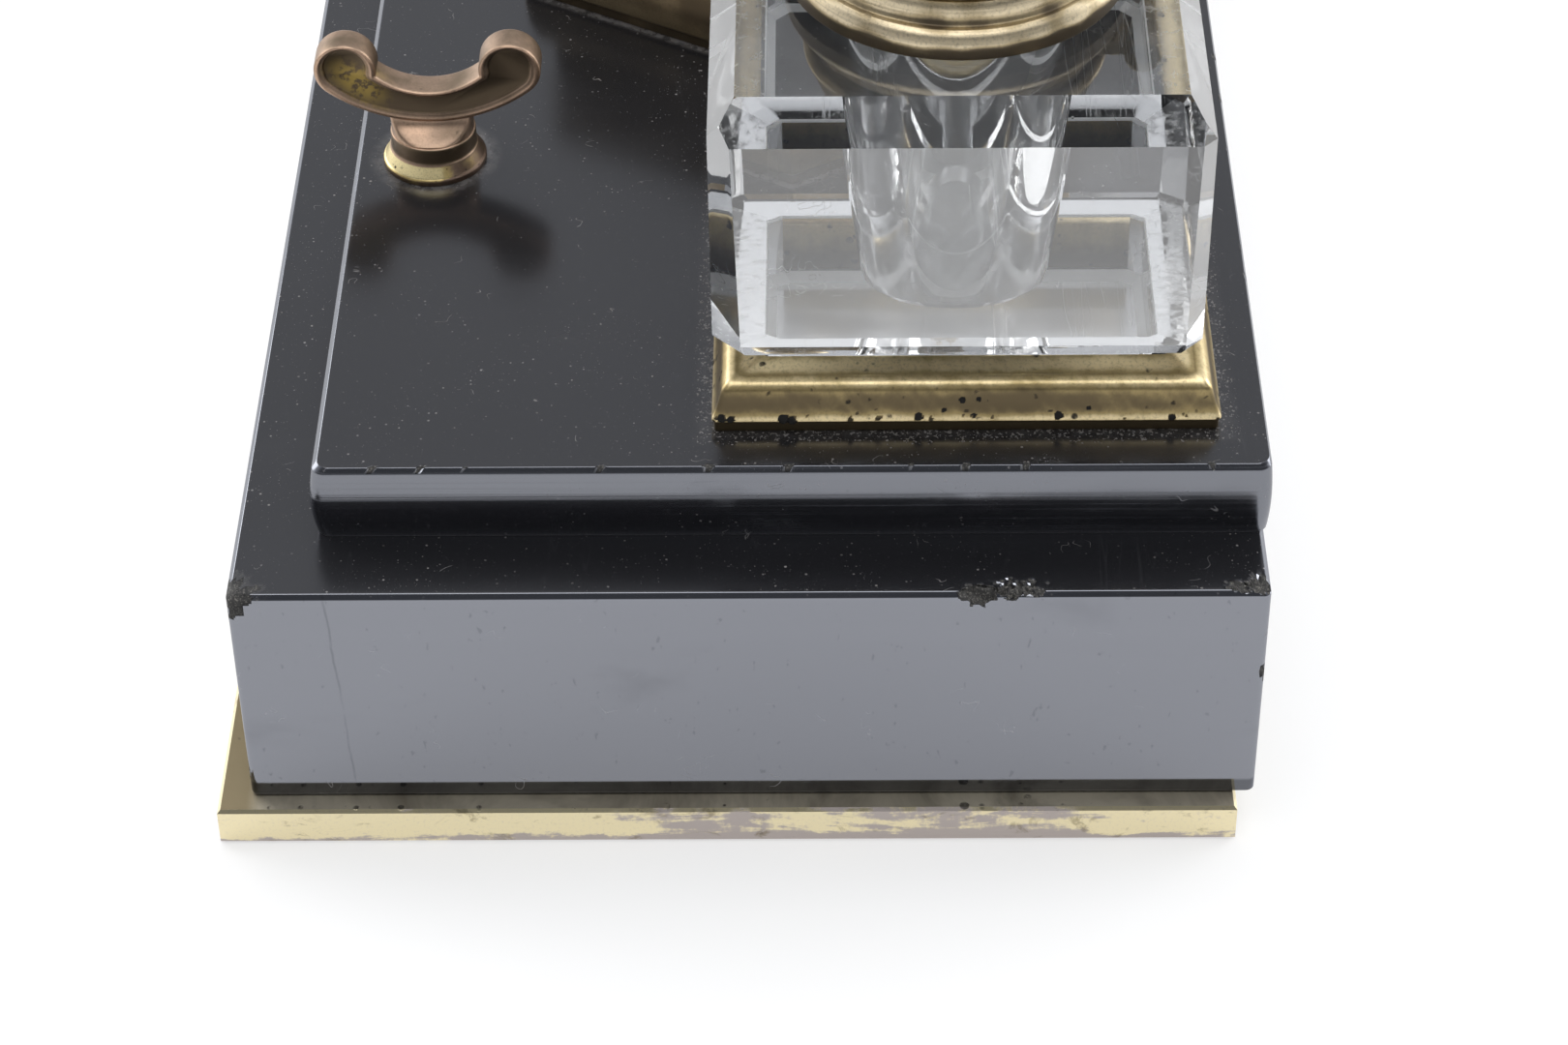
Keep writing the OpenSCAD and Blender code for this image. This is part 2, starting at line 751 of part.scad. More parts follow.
// Stamp box: the frame's moulding as a foot, plain walls and a rim under the lid
box_a = hex_apothem(box_r);
box_edge = concat(
    moulding(box_face_h, box_foot_w, box_foot_h),
    [[box_foot_w, box_h - rim_h]],
    [for (t = arc_steps()) if (t > 0)
        [box_foot_w - rim_out * sin(90 * t), box_h - rim_h + rim_h * rim_curve * t]],
    [[box_foot_w - rim_out, box_h]]);
cavity_a = box_a - box_foot_w - box_wall;
box_lid_seat = deck_z + box_h;
box_rim_a = box_a - box_foot_w + rim_out;
box_hinge_y = box_rim_a + knuckle_r + knuckle_gap;
box_tongue = box_hinge_y - box_rim_a + box_wall / 2;
box_knuckle_l = 2 * knuckle_l;
box_hinge_span = 3 * box_knuckle_l + 2 * knuckle_gap;
box_outer_knuckles = [-box_hinge_span / 2, box_hinge_span / 2 - box_knuckle_l];

module at_box(z) {
    translate([0, box_y, z])
        children();
}

module long_knuckle(x0, tongue_y, tongue_z0, tongue_z1) {
    for (half = [0, knuckle_l])
        knuckle(x0 + half, tongue_y, tongue_z0, tongue_z1);
}

module stamp_box() {
    color("saddlebrown")
        difference() {
            at_box(deck_z)
                union() {
                    difference() {
                        moulded_hexagon(box_a, box_edge);
                        moulded_hexagon(cavity_a, [[0, box_floor], [0, box_h + over]]);
                    }
                    translate([0, box_hinge_y, box_h])
                        for (x = box_outer_knuckles)
                            long_knuckle(x, box_tongue, -knuckle_r, -knuckle_gap);
                }
            at_box(box_lid_seat)
                translate([0, box_hinge_y, 0])
                    hinge_bore(box_hinge_span);
            drill(box_spot, box_stud_r + thread_clear, deck_z - over, deck_z + box_stud_grip);
        }
}

// Hexagonal lid: plain band, then a hollow sweep up to a small flat crown
function box_lid_edge(inset) = concat(
    [[inset, 0], [inset, lid_band]],
    [for (t = arc_steps()) if (t > 0)
        [inset + (box_rim_a - crown_a) * sin(90 * t),
         lid_band + (box_lid_h - lid_band) * (1 - cos(90 * t))]]);

module stamp_box_lid() {
    color("saddlebrown")
        at_box(box_lid_seat)
            difference() {
                union() {
                    difference() {
                        moulded_hexagon(box_rim_a, box_lid_edge(0));
                        intersection() {
                            moulded_hexagon(cavity_a, [[0, -over], [0, box_lid_h]]);
                            translate([0, 0, -box_wall])
                                moulded_hexagon(box_rim_a, box_lid_edge(box_wall));
                        }
                    }
                    translate([0, box_hinge_y, 0])
                        long_knuckle(-box_knuckle_l / 2, box_tongue, knuckle_gap, knuckle_r);
                }
                translate([0, 0, -over])
                    cylinder(r = box_knob_r * knob_neck + thread_clear, h = box_lid_h + 2 * over);
                translate([0, box_hinge_y, 0])
                    hinge_bore(box_knuckle_l);
            }
}

module stamp_box_knob() {
    color("goldenrod")
        at_box(box_lid_seat + box_lid_h)
            turned_knob(box_knob_r, box_wall);
}

module stamp_box_hinge_pin() {
    color("peru")
        at_box(box_lid_seat)
            translate([0, box_hinge_y, 0])
                hinge_pin(box_hinge_span);
}

module stamp_box_stud() {
    color("peru")
        drill(box_spot, box_stud_r, stud_end, deck_z + box_stud_grip);
}
module stamp_box_washer() {
    color("goldenrod")
        washers(box_spot, box_stud_r, recess_top);
}
module stamp_box_nut() {
    color("peru")
        nuts(box_spot, box_stud_r, recess_top - washer_t);
}

base_plate();
base_block();
top_slab();
inkwell_frame_right();
inkwell_frame_left();
frame_studs();
frame_washers();
frame_nuts();
pen_rest_right();
pen_rest_left();
pen_rest_studs();
pen_rest_washers();
pen_rest_nuts();
glass_well_right();
collar_right();
lid_hinge_pin_right();
lid_right();
lid_knob_right();
lid_seal_right();
glass_well_left();
collar_left();
lid_hinge_pin_left();
lid_left();
lid_knob_left();
lid_seal_left();
stamp_box();
stamp_box_lid();
stamp_box_knob();
stamp_box_hinge_pin();
stamp_box_stud();
stamp_box_washer();
stamp_box_nut();
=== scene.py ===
import json
import math
from functools import reduce
import bpy
import numpy as np
from mathutils import Matrix, Vector


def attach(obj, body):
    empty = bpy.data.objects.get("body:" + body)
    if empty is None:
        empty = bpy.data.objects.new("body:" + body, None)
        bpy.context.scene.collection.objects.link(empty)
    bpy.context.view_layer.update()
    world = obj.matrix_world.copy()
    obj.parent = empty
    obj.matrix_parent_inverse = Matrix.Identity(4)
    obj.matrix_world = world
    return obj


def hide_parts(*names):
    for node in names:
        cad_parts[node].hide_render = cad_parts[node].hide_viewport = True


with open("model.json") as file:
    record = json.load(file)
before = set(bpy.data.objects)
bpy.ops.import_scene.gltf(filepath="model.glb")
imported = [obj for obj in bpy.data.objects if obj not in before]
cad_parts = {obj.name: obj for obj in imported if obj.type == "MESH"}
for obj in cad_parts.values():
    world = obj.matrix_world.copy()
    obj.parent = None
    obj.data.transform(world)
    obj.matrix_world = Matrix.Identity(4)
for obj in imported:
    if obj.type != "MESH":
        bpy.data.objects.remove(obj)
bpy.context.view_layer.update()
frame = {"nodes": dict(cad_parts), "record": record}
nodes = frame["nodes"]
scene = bpy.context.scene
scene.view_settings.view_transform = "Standard"
print("stage: frame loaded,", len(nodes), "nodes")

# camera: fitted to the straight edges of the base in the photograph
camera = {
    "place": (0.499475, 0.012379, 0.358624),
    "forward": (-0.76004, -0.00988, -0.6498),
    "roll": -0.0132,
    "lens": 91.2,
    "sensor": 36.0,
}


def makeCamera(c):
    forward = np.array(c["forward"]) / np.linalg.norm(c["forward"])
    side = np.cross(forward, (0.0, 0.0, 1.0))
    side /= np.linalg.norm(side)
    up = np.cross(side, forward)
    cosRoll, sinRoll = math.cos(c["roll"]), math.sin(c["roll"])
    turn = np.eye(4)
    turn[:3, 0] = side * cosRoll + up * sinRoll
    turn[:3, 1] = up * cosRoll - side * sinRoll
    turn[:3, 2] = -forward
    turn[:3, 3] = c["place"]
    data = bpy.data.cameras.new("photoCamera")
    data.lens, data.sensor_width, data.clip_start = c["lens"], c["sensor"], 0.01
    obj = bpy.data.objects.new("photoCamera", data)
    obj.matrix_world = Matrix(turn.tolist())
    scene.collection.objects.link(obj)
    scene.camera = obj


makeCamera(camera)

mm = 0.001      # shapes are worked out in millimetres and turned into metres when a piece is made
deck = 49.8     # top of the slab
wellX = 89.9    # distance of each inkwell from the stand's middle
wellY = 28.8    # axis of each glass, which stands a little nearer the writer than its frame's middle
frameY = 30.0   # middle of each frame
restX = 62.3    # axis of each pen rest
restY = -39.45
boxY = 8.45     # axis of the stamp box, and middle of the slab
sides = (("right", 1), ("left", -1))


# inputs of a node: a socket is linked and a value is set, where a colour has three numbers
def feed(node, inputs):
    for key, value in inputs.items():
        socket = node.inputs[key]
        if isinstance(value, bpy.types.NodeSocket):
            node.id_data.links.new(value, socket)
        else:
            socket.default_value = (*value, 1) if socket.type == "RGBA" else value


def put(tree, kind, inputs, **settings):
    node = tree.nodes.new("ShaderNode" + kind)
    for key, value in settings.items():
        setattr(node, key, value)
    feed(node, inputs)
    return node


# sums on sockets: the new node goes into the tree that the socket is in
def calc(operation, a, b=0.0, clamp=False):
    tree = (a if isinstance(a, bpy.types.NodeSocket) else b).id_data
    return put(tree, "Math", {0: a, 1: b}, operation=operation, use_clamp=clamp).outputs[0]


def times(a, b):
    return calc("MULTIPLY", a, b)


def minus(a, b):
    return calc("SUBTRACT", a, b)


def absolute(a):
    return calc("ABSOLUTE", a)


def total(*values):
    return reduce(lambda a, b: calc("ADD", a, b), values)


def largest(*values):
    return reduce(lambda a, b: calc("MAXIMUM", a, b), values)


def mixColour(factor, a, b):
    return put(factor.id_data, "Mix", {0: factor, 6: a, 7: b}, data_type="RGBA").outputs[2]


def mixValue(factor, a, b):
    return put(factor.id_data, "Mix", {0: factor, 2: a, 3: b}, data_type="FLOAT").outputs[0]


def spread(value, low, high, toLow=0.0, toHigh=1.0):
    ends = {"Value": value, "From Min": low, "From Max": high, "To Min": toLow, "To Max": toHigh}
    return put(value.id_data, "MapRange", ends, interpolation_type="SMOOTHSTEP").outputs["Result"]


def noise(vector, scale, detail=3.0, rough=0.5, distort=0.0):
    inputs = {"Vector": vector, "Scale": scale, "Detail": detail, "Roughness": rough, "Distortion": distort}
    return put(vector.id_data, "TexNoise", inputs).outputs["Fac"]


def stretch(vector, scale, turn=(0.0, 0.0, 0.0)):
    return put(vector.id_data, "Mapping", {"Vector": vector, "Scale": scale, "Rotation": turn}).outputs[0]


def split(vector):
    return put(vector.id_data, "SeparateXYZ", {0: vector}).outputs


def combine(x, y, z):
    return put(x.id_data, "CombineXYZ", {0: x, 1: y, 2: z}).outputs[0]


def shift(vector, operation, by):
    return put(vector.id_data, "VectorMath", {0: vector, 1: by}, operation=operation).outputs[0]


def lengthOf(vector):
    return put(vector.id_data, "VectorMath", {0: vector}, operation="LENGTH").outputs["Value"]


# thin lines along the middle level of a noise
def levelLine(value, wide, narrow):
    return spread(absolute(minus(value, 0.5)), wide, narrow)


# round spots of random size in the cells of a cell pattern: the higher the power, the fewer are large
def spots(vector, scale, power, size, edge):
    cell = put(vector.id_data, "TexVoronoi", {"Vector": vector, "Scale": scale}).outputs
    chance = put(vector.id_data, "SeparateColor", {"Color": cell["Color"]}).outputs["Red"]
    inside = minus(times(calc("POWER", chance, power), size), cell["Distance"])
    return calc("MULTIPLY", inside, edge, clamp=True)


# a group takes a place as Vector, and its other inputs and its outputs are plain values
def newGroup(name, inputs, outputs):
    tree = bpy.data.node_groups.new(name, "ShaderNodeTree")
    tree.interface.new_socket("Vector", in_out="INPUT", socket_type="NodeSocketVector")
    for label, value in inputs.items():
        tree.interface.new_socket(label, in_out="INPUT", socket_type="NodeSocketFloat").default_value = value
    for label in outputs:
        tree.interface.new_socket(label, in_out="OUTPUT", socket_type="NodeSocketFloat")
    return tree, tree.nodes.new("NodeGroupInput").outputs, tree.nodes.new("NodeGroupOutput")


def useGroup(group, vector, inputs):
    return put(vector.id_data, "Group", {"Vector": vector, **inputs}, node_tree=group).outputs


# dust: small grains of two sizes, gathered in patches, and short curled fibres
def makeDustGroup():
    tree, given, result = newGroup("dust", {"Density": 0.5, "Scale": 1400.0}, ("Specks", "Fibres"))
    vector = given["Vector"]
    coarse = spots(vector, given["Scale"], 4.0, 0.30, 7.0)
    fine = spots(vector, times(given["Scale"], 2.3), 2.5, 0.26, 7.0)
    patch = spread(noise(vector, 55.0, 3.0, 0.6), 0.38, 0.66, 0.15, 1.0)
    specks = times(largest(coarse, times(fine, 0.7)), times(patch, given["Density"]))
    line = levelLine(noise(vector, 330.0, 1.0, 0.4, 0.6), 0.007, 0.002)
    where = spread(noise(vector, 240.0, 0.0), 0.74, 0.78)
    feed(result, {"Specks": specks, "Fibres": times(line, where)})
    return tree


# scratches: thin level lines of noise that is drawn out along three directions
def makeScratchGroup():
    tree, given, result = newGroup("scratches", {"Amount": 0.5}, ("Lines",))
    lines = []
    for turn, seed in ((0.35, 3.1), (1.45, 7.7), (2.5, 12.9)):
        drawn = stretch(given["Vector"], (26.0, 700.0, 700.0), (turn * 0.3, turn * 0.2, turn))
        shifted = shift(drawn, "ADD", (seed,) * 3)
        line = levelLine(noise(shifted, 1.0, 0.0), 0.010, 0.002)
        lines.append(times(line, spread(noise(shifted, 0.16, 1.0), 0.60, 0.66)))
    feed(result, {"Lines": times(largest(*lines), given["Amount"])})
    return tree


# tarnish: cloudy patches that keep off the rubbed places, with pits where corrosion has bitten
def makeTarnishGroup():
    tree, given, result = newGroup("tarnish", {"Wear": 0.5, "Scale": 1.0}, ("Cloud", "Fine", "Pits", "Height"))
    vector = given["Vector"]

    def scaled(size):
        return times(given["Scale"], size)

    broad = noise(vector, scaled(70.0), 2.0)
    middle = noise(vector, scaled(420.0), 4.0, 0.6, 0.3)
    fine = noise(vector, scaled(2600.0), 3.0, 0.6)
    rubbed = minus(0.7, times(given["Wear"], 0.8))
    cloud = spread(total(times(broad, 0.3), times(middle, 0.3), rubbed), 0.15, 1.0)
    pits = times(spots(vector, scaled(800.0), 6.0, 0.55, 8.0), spread(middle, 0.45, 0.6))
    feed(result, {"Cloud": cloud, "Fine": fine, "Pits": pits, "Height": minus(times(fine, 0.3), pits)})
    return tree


dustGroup = makeDustGroup()
scratchGroup = makeScratchGroup()
tarnishGroup = makeTarnishGroup()
print("stage: node groups made")


def newMaterial(name):
    material = bpy.data.materials.new(name)
    material.use_nodes = True
    tree = material.node_tree
    return material, tree.nodes["Principled BSDF"], put(tree, "TexCoord", {}).outputs["Object"]


def wearOf(shader):
    return put(shader.id_data, "Attribute", {}, attribute_name="wear").outputs["Fac"]


# level faces give 1, upright ones 0
def levelness(shader):
    return absolute(split(put(shader.id_data, "NewGeometry", {}).outputs["Normal"])["Z"])


def emboss(shader, height, strength, depth=0.1):
    bump = put(shader.id_data, "Bump", {"Strength": strength, "Distance": depth * mm, "Height": height})
    feed(shader, {"Normal": bump.outputs[0]})


# stone: polished black, with dust, faint smears and pale broken edges. The faces take up the bright floor,
# the tops the dimmer wall
# tint colours the stone's reflections a cool blue: a painted blue cast of the light
stoneTop = {"name": "stoneTop", "ior": 1.56, "tint": (0.93, 0.94, 1.0), "rough": 0.19, "smear": 0.10,
            "density": 0.75, "halo": False, "marks": False}
slabTop = {**stoneTop, "name": "stoneSlabTop", "halo": True}
stoneFace = {"name": "stoneFace", "ior": 3.2, "tint": (0.87, 0.90, 1.0), "rough": 0.05, "smear": 0.16,
             "density": 0.40, "halo": False, "marks": True}
slabFace = {**stoneFace, "name": "stoneSlabFace", "ior": 2.75, "rough": 0.16, "smear": 0.30, "marks": False}
brokenStone = {**stoneTop, "name": "stoneBroken", "ior": 1.25, "rough": 0.6, "density": 0.2}
stoneColours = {"black": (0.012, 0.012, 0.0135), "dust": ((0.30, 0.26, 0.21), (0.44, 0.44, 0.46)),
                "brushed": (0.55, 0.57, 0.60), "scratch": (0.3, 0.3, 0.32),
                "broken": ((0.075, 0.073, 0.07), (0.40, 0.38, 0.34))}
feet = {"frame": 31.2, "rest": 6.8, "box": 38.0}  # reach of each foot where dirt begins to gather
hairline = {"place": 46.0, "lean": 0.055, "wobble": 0.7, "width": (0.20, 0.06)}


# nearness to the feet that stand on the slab: distance to the square frames, the round flanges and the six-sided box
def nearFeet(vector):
    x, y = split(vector)[:2]
    across = absolute(x)

    def off(value, middle):
        return absolute(minus(value, middle * mm))

    frameGap = minus(largest(off(across, wellX), off(y, frameY)), feet["frame"] * mm)
    dx, dy = off(across, restX), off(y, restY)
    restGap = minus(calc("SQRT", total(times(dx, dx), times(dy, dy))), feet["rest"] * mm)
    dy = off(y, boxY)
    slope = total(times(across, 0.866), times(dy, 0.5))  # along the slanting sides, 30 degrees off
    boxGap = minus(largest(slope, dy), feet["box"] * mm)
    under = spread(frameGap, -3.0 * mm, -5.0 * mm)
    grains = times(spread(frameGap, 3.0 * mm, 0.0), minus(1.0, under))
    ring = largest(spread(restGap, 2.6 * mm, 0.0), spread(boxGap, 1.4 * mm, 0.2 * mm))
    return grains, ring, under


# marks of a stone face: brushed lines, dull smudges, a broken hairline scratch down the face, and painted shade at the
# foot
def faceMarksAndFootShade(vector):
    y, z = split(vector)[1:]
    brush = spread(noise(stretch(vector, (40.0, 5.0, 5200.0)), 1.0, 2.0), 0.48, 0.78, 0.0, 0.035)
    smudge = spread(noise(stretch(vector, (1.0, 0.6, 1.0)), 46.0, 4.0, 0.6, 0.5), 0.56, 0.74, 0.0, 0.14)
    wobble = times(noise(vector, 240.0, 2.0), hairline["wobble"] * mm)
    lean = total(y, times(z, hairline["lean"]), wobble)
    wide, narrow = hairline["width"]
    line = spread(absolute(total(lean, hairline["place"] * mm)), wide * mm, narrow * mm)
    gaps = spread(noise(vector, 140.0, 5.0, 0.7), 0.35, 0.6, 0.0, 0.22)
    flecks = spread(noise(stretch(vector, (1.0, 1.0, 0.6)), 1100.0, 2.0), 0.68, 0.76, 0.0, 0.2)
    # painted shade: the block's faces darken within about 2.6 mm of its foot, standing in for the contact shade and
    # dark reflection where it meets the plate
    grimeAndShade = spread(z, 8.2 * mm, 7.6 * mm, 0.0, 0.5)
    return brush, largest(times(line, gaps), smudge, flecks, grimeAndShade)


def makeStone(s):
    material, shader, vector = newMaterial(s["name"])
    dust = useGroup(dustGroup, vector, {"Density": s["density"], "Scale": 1400.0})
    lines = useGroup(scratchGroup, vector, {"Amount": 0.2})["Lines"]
    broken = wearOf(shader)
    grimeAndShade = largest(dust["Specks"], times(dust["Fibres"], 0.45))
    smear = noise(stretch(vector, (1.0, 0.5, 1.0)), 42.0, 4.0, 0.6, 0.9)
    drawn = noise(stretch(vector, (60.0, 9.0, 2600.0)), 1.0, 2.0)
    rough = total(spread(smear, 0.5, 0.8, s["rough"], s["rough"] + s["smear"]),
                  spread(drawn, 0.5, 0.8, 0.0, s["smear"] * 0.6))
    if s["halo"]:
        near, ring, under = nearFeet(vector)
        fine = noise(vector, 2600.0, 1.0, 0.6)
        grain = spread(total(fine, times(near, 0.09)), 0.65, 0.72, 0.0, 0.42)
        cloud = spread(noise(vector, 500.0, 4.0, 0.7), 0.3, 0.65, 0.15, 1.0)
        haze = times(cloud, total(times(ring, 0.3), times(near, 0.08)))
        grimeAndShade = largest(grimeAndShade, times(grain, spread(near, 0.0, 0.3)), haze)
        rough = total(rough, times(under, 0.45))
    colour = mixColour(noise(vector, 900.0, 2.0), *stoneColours["dust"])
    colour = mixColour(grimeAndShade, stoneColours["black"], colour)
    if s["marks"]:
        # on the block's faces the marks and the painted shade at the foot darken the reflection
        brush, dark = faceMarksAndFootShade(vector)
        colour = mixColour(brush, colour, stoneColours["brushed"])
        feed(shader, {"Metallic": dark})
    colour = mixColour(times(lines, 0.12), colour, stoneColours["scratch"])
    grit = spread(noise(vector, 3800.0, 3.0, 0.7), 0.5, 0.75)
    colour = mixColour(broken, colour, mixColour(grit, *stoneColours["broken"]))
    rough = mixValue(largest(grimeAndShade, broken), rough, 0.65)
    feed(shader, {"Base Color": colour, "Roughness": rough, "IOR": s["ior"], "Specular Tint": s["tint"]})
    height = total(times(grimeAndShade, 0.6), times(lines, -0.3), times(grit, broken), times(drawn, s["smear"] * 1.2))
    emboss(shader, height, 0.25)
    return material


# brass and bronze: bright metal where it is rubbed, dull and darker in the sheltered places, dark pits, and painted
# shade where the wear is below zero on the collars
frameMetal = {"bright": (0.86, 0.71, 0.42), "mid": (0.42, 0.325, 0.155), "dull": (0.155, 0.120, 0.070),
              "dark": (0.012, 0.011, 0.010), "rough": (0.34, 0.46), "scale": 1.0, "pits": 0.95}
collarMetal = {"bright": (0.80, 0.68, 0.47), "mid": (0.46, 0.37, 0.225), "dull": (0.12, 0.095, 0.065),
               "dark": (0.04, 0.035, 0.03), "rough": (0.36, 0.46), "scale": 1.0, "pits": 0.3, "turned": (wellX, wellY)}
restMetal = {"bright": (0.55, 0.375, 0.265), "mid": (0.33, 0.235, 0.17), "dull": (0.145, 0.108, 0.072),
             "dark": (0.03, 0.025, 0.02), "rough": (0.40, 0.5), "scale": 1.2, "pits": 0.3,
             "gilt": (64.0, -48.8, 63.2), "gold": (0.50, 0.36, 0.10)}
footMetal = {"bright": (0.86, 0.73, 0.40), "mid": (0.50, 0.38, 0.16), "dull": (0.15, 0.105, 0.080),
             "dark": (0.03, 0.025, 0.02), "rough": (0.36, 0.46), "scale": 2.2, "pits": 0.9}
boxMetal = {"bright": (0.33, 0.26, 0.16), "mid": (0.22, 0.17, 0.105), "dull": (0.145, 0.112, 0.072),
            "dark": (0.03, 0.025, 0.02), "rough": (0.40, 0.46), "scale": 1.3, "pits": 0.4}
fixingMetal = {"bright": (0.45, 0.35, 0.18), "mid": (0.31, 0.25, 0.13), "dull": (0.20, 0.16, 0.09),
               "dark": (0.04, 0.035, 0.03), "rough": (0.35, 0.5), "scale": 1.5, "pits": 0.4}


# lathe lines: noise along the distance from the axis and the height, drawn out round it
def latheLines(vector, axisX, axisY, fineness=2600.0):
    x, y, z = split(vector)
    dx, dy = minus(absolute(x), axisX * mm), minus(y, axisY * mm)
    reach = lengthOf(combine(dx, dy, 0.0))
    drawn = combine(times(reach, fineness), times(z, fineness), calc("ARCTAN2", dy, dx))
    return spread(noise(drawn, 1.0, 3.0, 0.6), 0.45, 0.75, 0.0, 0.5)


# old gilding about a place: a long patch with a ragged rim, flaked, and left only where the metal lies sunk
def giltPatch(vector, place, cloud, wear):
    x, y, z = split(vector)
    offset = shift(combine(absolute(x), y, z), "SUBTRACT", [c * mm for c in place])
    along = stretch(stretch(offset, (1.0, 1.0, 1.0), (0.72, 0.0, 0.0)), (1.0, 0.5, 1.0))
    ragged = total(lengthOf(along), times(minus(cloud, 0.5), 3.0 * mm))
    flaked = spread(noise(vector, 900.0, 4.0, 0.65), 0.36, 0.5)
    sunk = times(flaked, spread(wear, 0.5, 0.25))
    return times(sunk, spread(ragged, 4.6 * mm, 1.8 * mm, 0.0, 0.85))


def makeMetal(name, m):
    material, shader, vector = newMaterial(name)
    wear = wearOf(shader)
    tarnish = useGroup(tarnishGroup, vector, {"Wear": wear, "Scale": m["scale"]})
    lines = useGroup(scratchGroup, vector, {"Amount": 0.35})["Lines"]
    cloud = tarnish["Cloud"]
    colour = mixColour(spread(cloud, 0.0, 0.55), m["bright"], m["mid"])
    colour = mixColour(spread(cloud, 0.5, 1.0), colour, m["dull"])
    colour = mixColour(spread(tarnish["Fine"], 0.45, 0.75, 0.0, 0.35), colour, m["dull"])
    if "turned" in m:
        colour = mixColour(latheLines(vector, *m["turned"]), colour, m["dull"])
    if "gilt" in m:
        colour = mixColour(giltPatch(vector, m["gilt"], cloud, wear), colour, m["gold"])
    # wear below zero turns dark: the frames' pits, and the painted shade under the collars
    pits = largest(times(tarnish["Pits"], m["pits"]), spread(wear, -0.15, -0.7))
    rough = total(mixValue(cloud, *m["rough"]), times(pits, 0.3))
    feed(shader, {"Base Color": mixColour(pits, colour, m["dark"]), "Roughness": rough,
                  "Metallic": minus(1.0, times(pits, 0.7))})
    emboss(shader, minus(tarnish["Height"], times(lines, 0.5)), 0.22)
    return material


# plate: dull olive top, pale edges where flakes of grey tarnish are left, mostly low down and along the saw marks
plateLook = {"pale": (0.86, 0.76, 0.50), "flake": (0.54, 0.48, 0.45), "top": (0.66, 0.60, 0.47),
             "dirt": (0.30, 0.265, 0.20), "stain": (0.24, 0.19, 0.105), "pit": (0.03, 0.027, 0.024)}


def makePlateBrass(p):
    material, shader, vector = newMaterial("plateBrass")
    tarnish = useGroup(tarnishGroup, vector, {"Wear": 0.5, "Scale": 0.9})
    y, z = split(vector)[1:]
    along = noise(stretch(vector, (60.0, 60.0, 420.0)), 1.0, 5.0, 0.68, 0.5)
    mottle = noise(vector, 230.0, 5.0, 0.7)
    # tarnish gathers low down and past the middle of an end, and thins out again before its corner
    low = spread(z, 2.2 * mm, 0.0, -0.02, 0.14)
    broad = total(spread(y, -24.0 * mm, 20.0 * mm, -0.055, 0.06), spread(y, 42.0 * mm, 52.0 * mm, 0.0, -0.12))
    flakes = spread(total(times(along, 0.6), times(mottle, 0.4), broad, low), 0.49, 0.57)
    edge = mixColour(flakes, p["pale"], p["flake"])
    edge = mixColour(spread(tarnish["Fine"], 0.5, 0.8, 0.0, 0.3), edge, p["flake"])
    blots = noise(stretch(vector, (150.0, 150.0, 320.0)), 1.0, 5.0, 0.7, 0.6)
    edge = mixColour(spread(blots, 0.55, 0.68, 0.0, 0.6), edge, p["stain"])
    top = mixColour(spread(along, 0.35, 0.7), p["top"], p["dirt"])
    top = mixColour(spread(y, -58.0 * mm, -61.0 * mm, 0.0, 0.95), top, p["stain"])
    level = spread(levelness(shader), 0.8, 0.95)
    colour = mixColour(times(tarnish["Pits"], 0.8), mixColour(level, edge, top), p["pit"])
    dull = largest(flakes, level)
    feed(shader, {"Base Color": colour, "Roughness": mixValue(dull, 0.30, 0.48),
                  "Metallic": mixValue(dull, 1.0, 0.75)})
    emboss(shader, total(times(flakes, 0.4), tarnish["Height"]), 0.3)
    return material


# glass: clear and colourless, with fine wear on its faces. The face towards the end of the stand shines most, and the
# well has the haze of old ink
plainGlass = {"name": "innerGlass", "colour": (0.965, 0.975, 0.98), "ior": 1.55, "transmission": 1.0, "rough": 0.0,
              "coat": 1.5, "fade": 1.0, "drawn": 0.0}
glassKinds = [
    {**plainGlass, "name": "clearGlass", "coat": 2.7, "fade": 0.6},
    {**plainGlass, "name": "facetGlass", "coat": 3.8},
    {**plainGlass, "name": "groundGlass", "transmission": 0.05, "rough": 0.30},
    {**plainGlass, "name": "hazyWellGlass", "transmission": 0.79, "rough": 0.012},
    plainGlass,
    {**plainGlass, "name": "drawnGlass", "transmission": 0.84, "rough": 0.03, "drawn": 0.35},
    {**plainGlass, "name": "soleGlass", "transmission": 0.95, "rough": 0.16},
]


def makeGlass(g):
    material, shader, vector = newMaterial(g["name"])
    dust = useGroup(dustGroup, vector, {"Density": 0.35, "Scale": 1500.0})
    lines = useGroup(scratchGroup, vector, {"Amount": 0.8})["Lines"]
    marks = largest(dust["Specks"], lines)
    cloud = spread(noise(vector, 120.0, 3.0, 0.6), 0.4, 0.75, 0.0, 0.12)
    rough = total(times(marks, 0.3), times(cloud, g["rough"] * 5))
    if g["drawn"]:
        streaks = noise(stretch(vector, (620.0, 620.0, 34.0)), 1.0, 4.0, 0.6, 0.4)
        rough = total(rough, spread(streaks, 0.42, 0.7, 0.0, g["drawn"]))
    upright = spread(levelness(shader), 0.9, 0.3, 0.22, 1.0)
    shine = times(upright, spread(split(vector)["Z"], 78.0 * mm, 63.0 * mm, g["fade"], 1.0))
    feed(shader, {"Base Color": g["colour"], "Transmission Weight": g["transmission"], "IOR": g["ior"],
                  "Roughness": total(rough, g["rough"]), "Coat Weight": shine, "Coat IOR": g["coat"]})
    emboss(shader, marks, 0.12, 0.05)
    return material


# leather: brown hide with a fine pebble grain
leather = {"colours": ((0.09, 0.045, 0.022), (0.19, 0.10, 0.05)), "rough": (0.85, 0.6), "grain": 1500.0}


def makeLeather(k):
    material, shader, vector = newMaterial("sealLeather")
    grain = put(vector.id_data, "TexVoronoi", {"Vector": vector, "Scale": k["grain"]}).outputs["Distance"]
    feed(shader, {"Base Color": mixColour(noise(vector, 160.0, 4.0), *k["colours"]),
                  "Roughness": spread(grain, 0.1, 0.7, *k["rough"])})
    emboss(shader, grain, 0.5, 0.2)
    return material


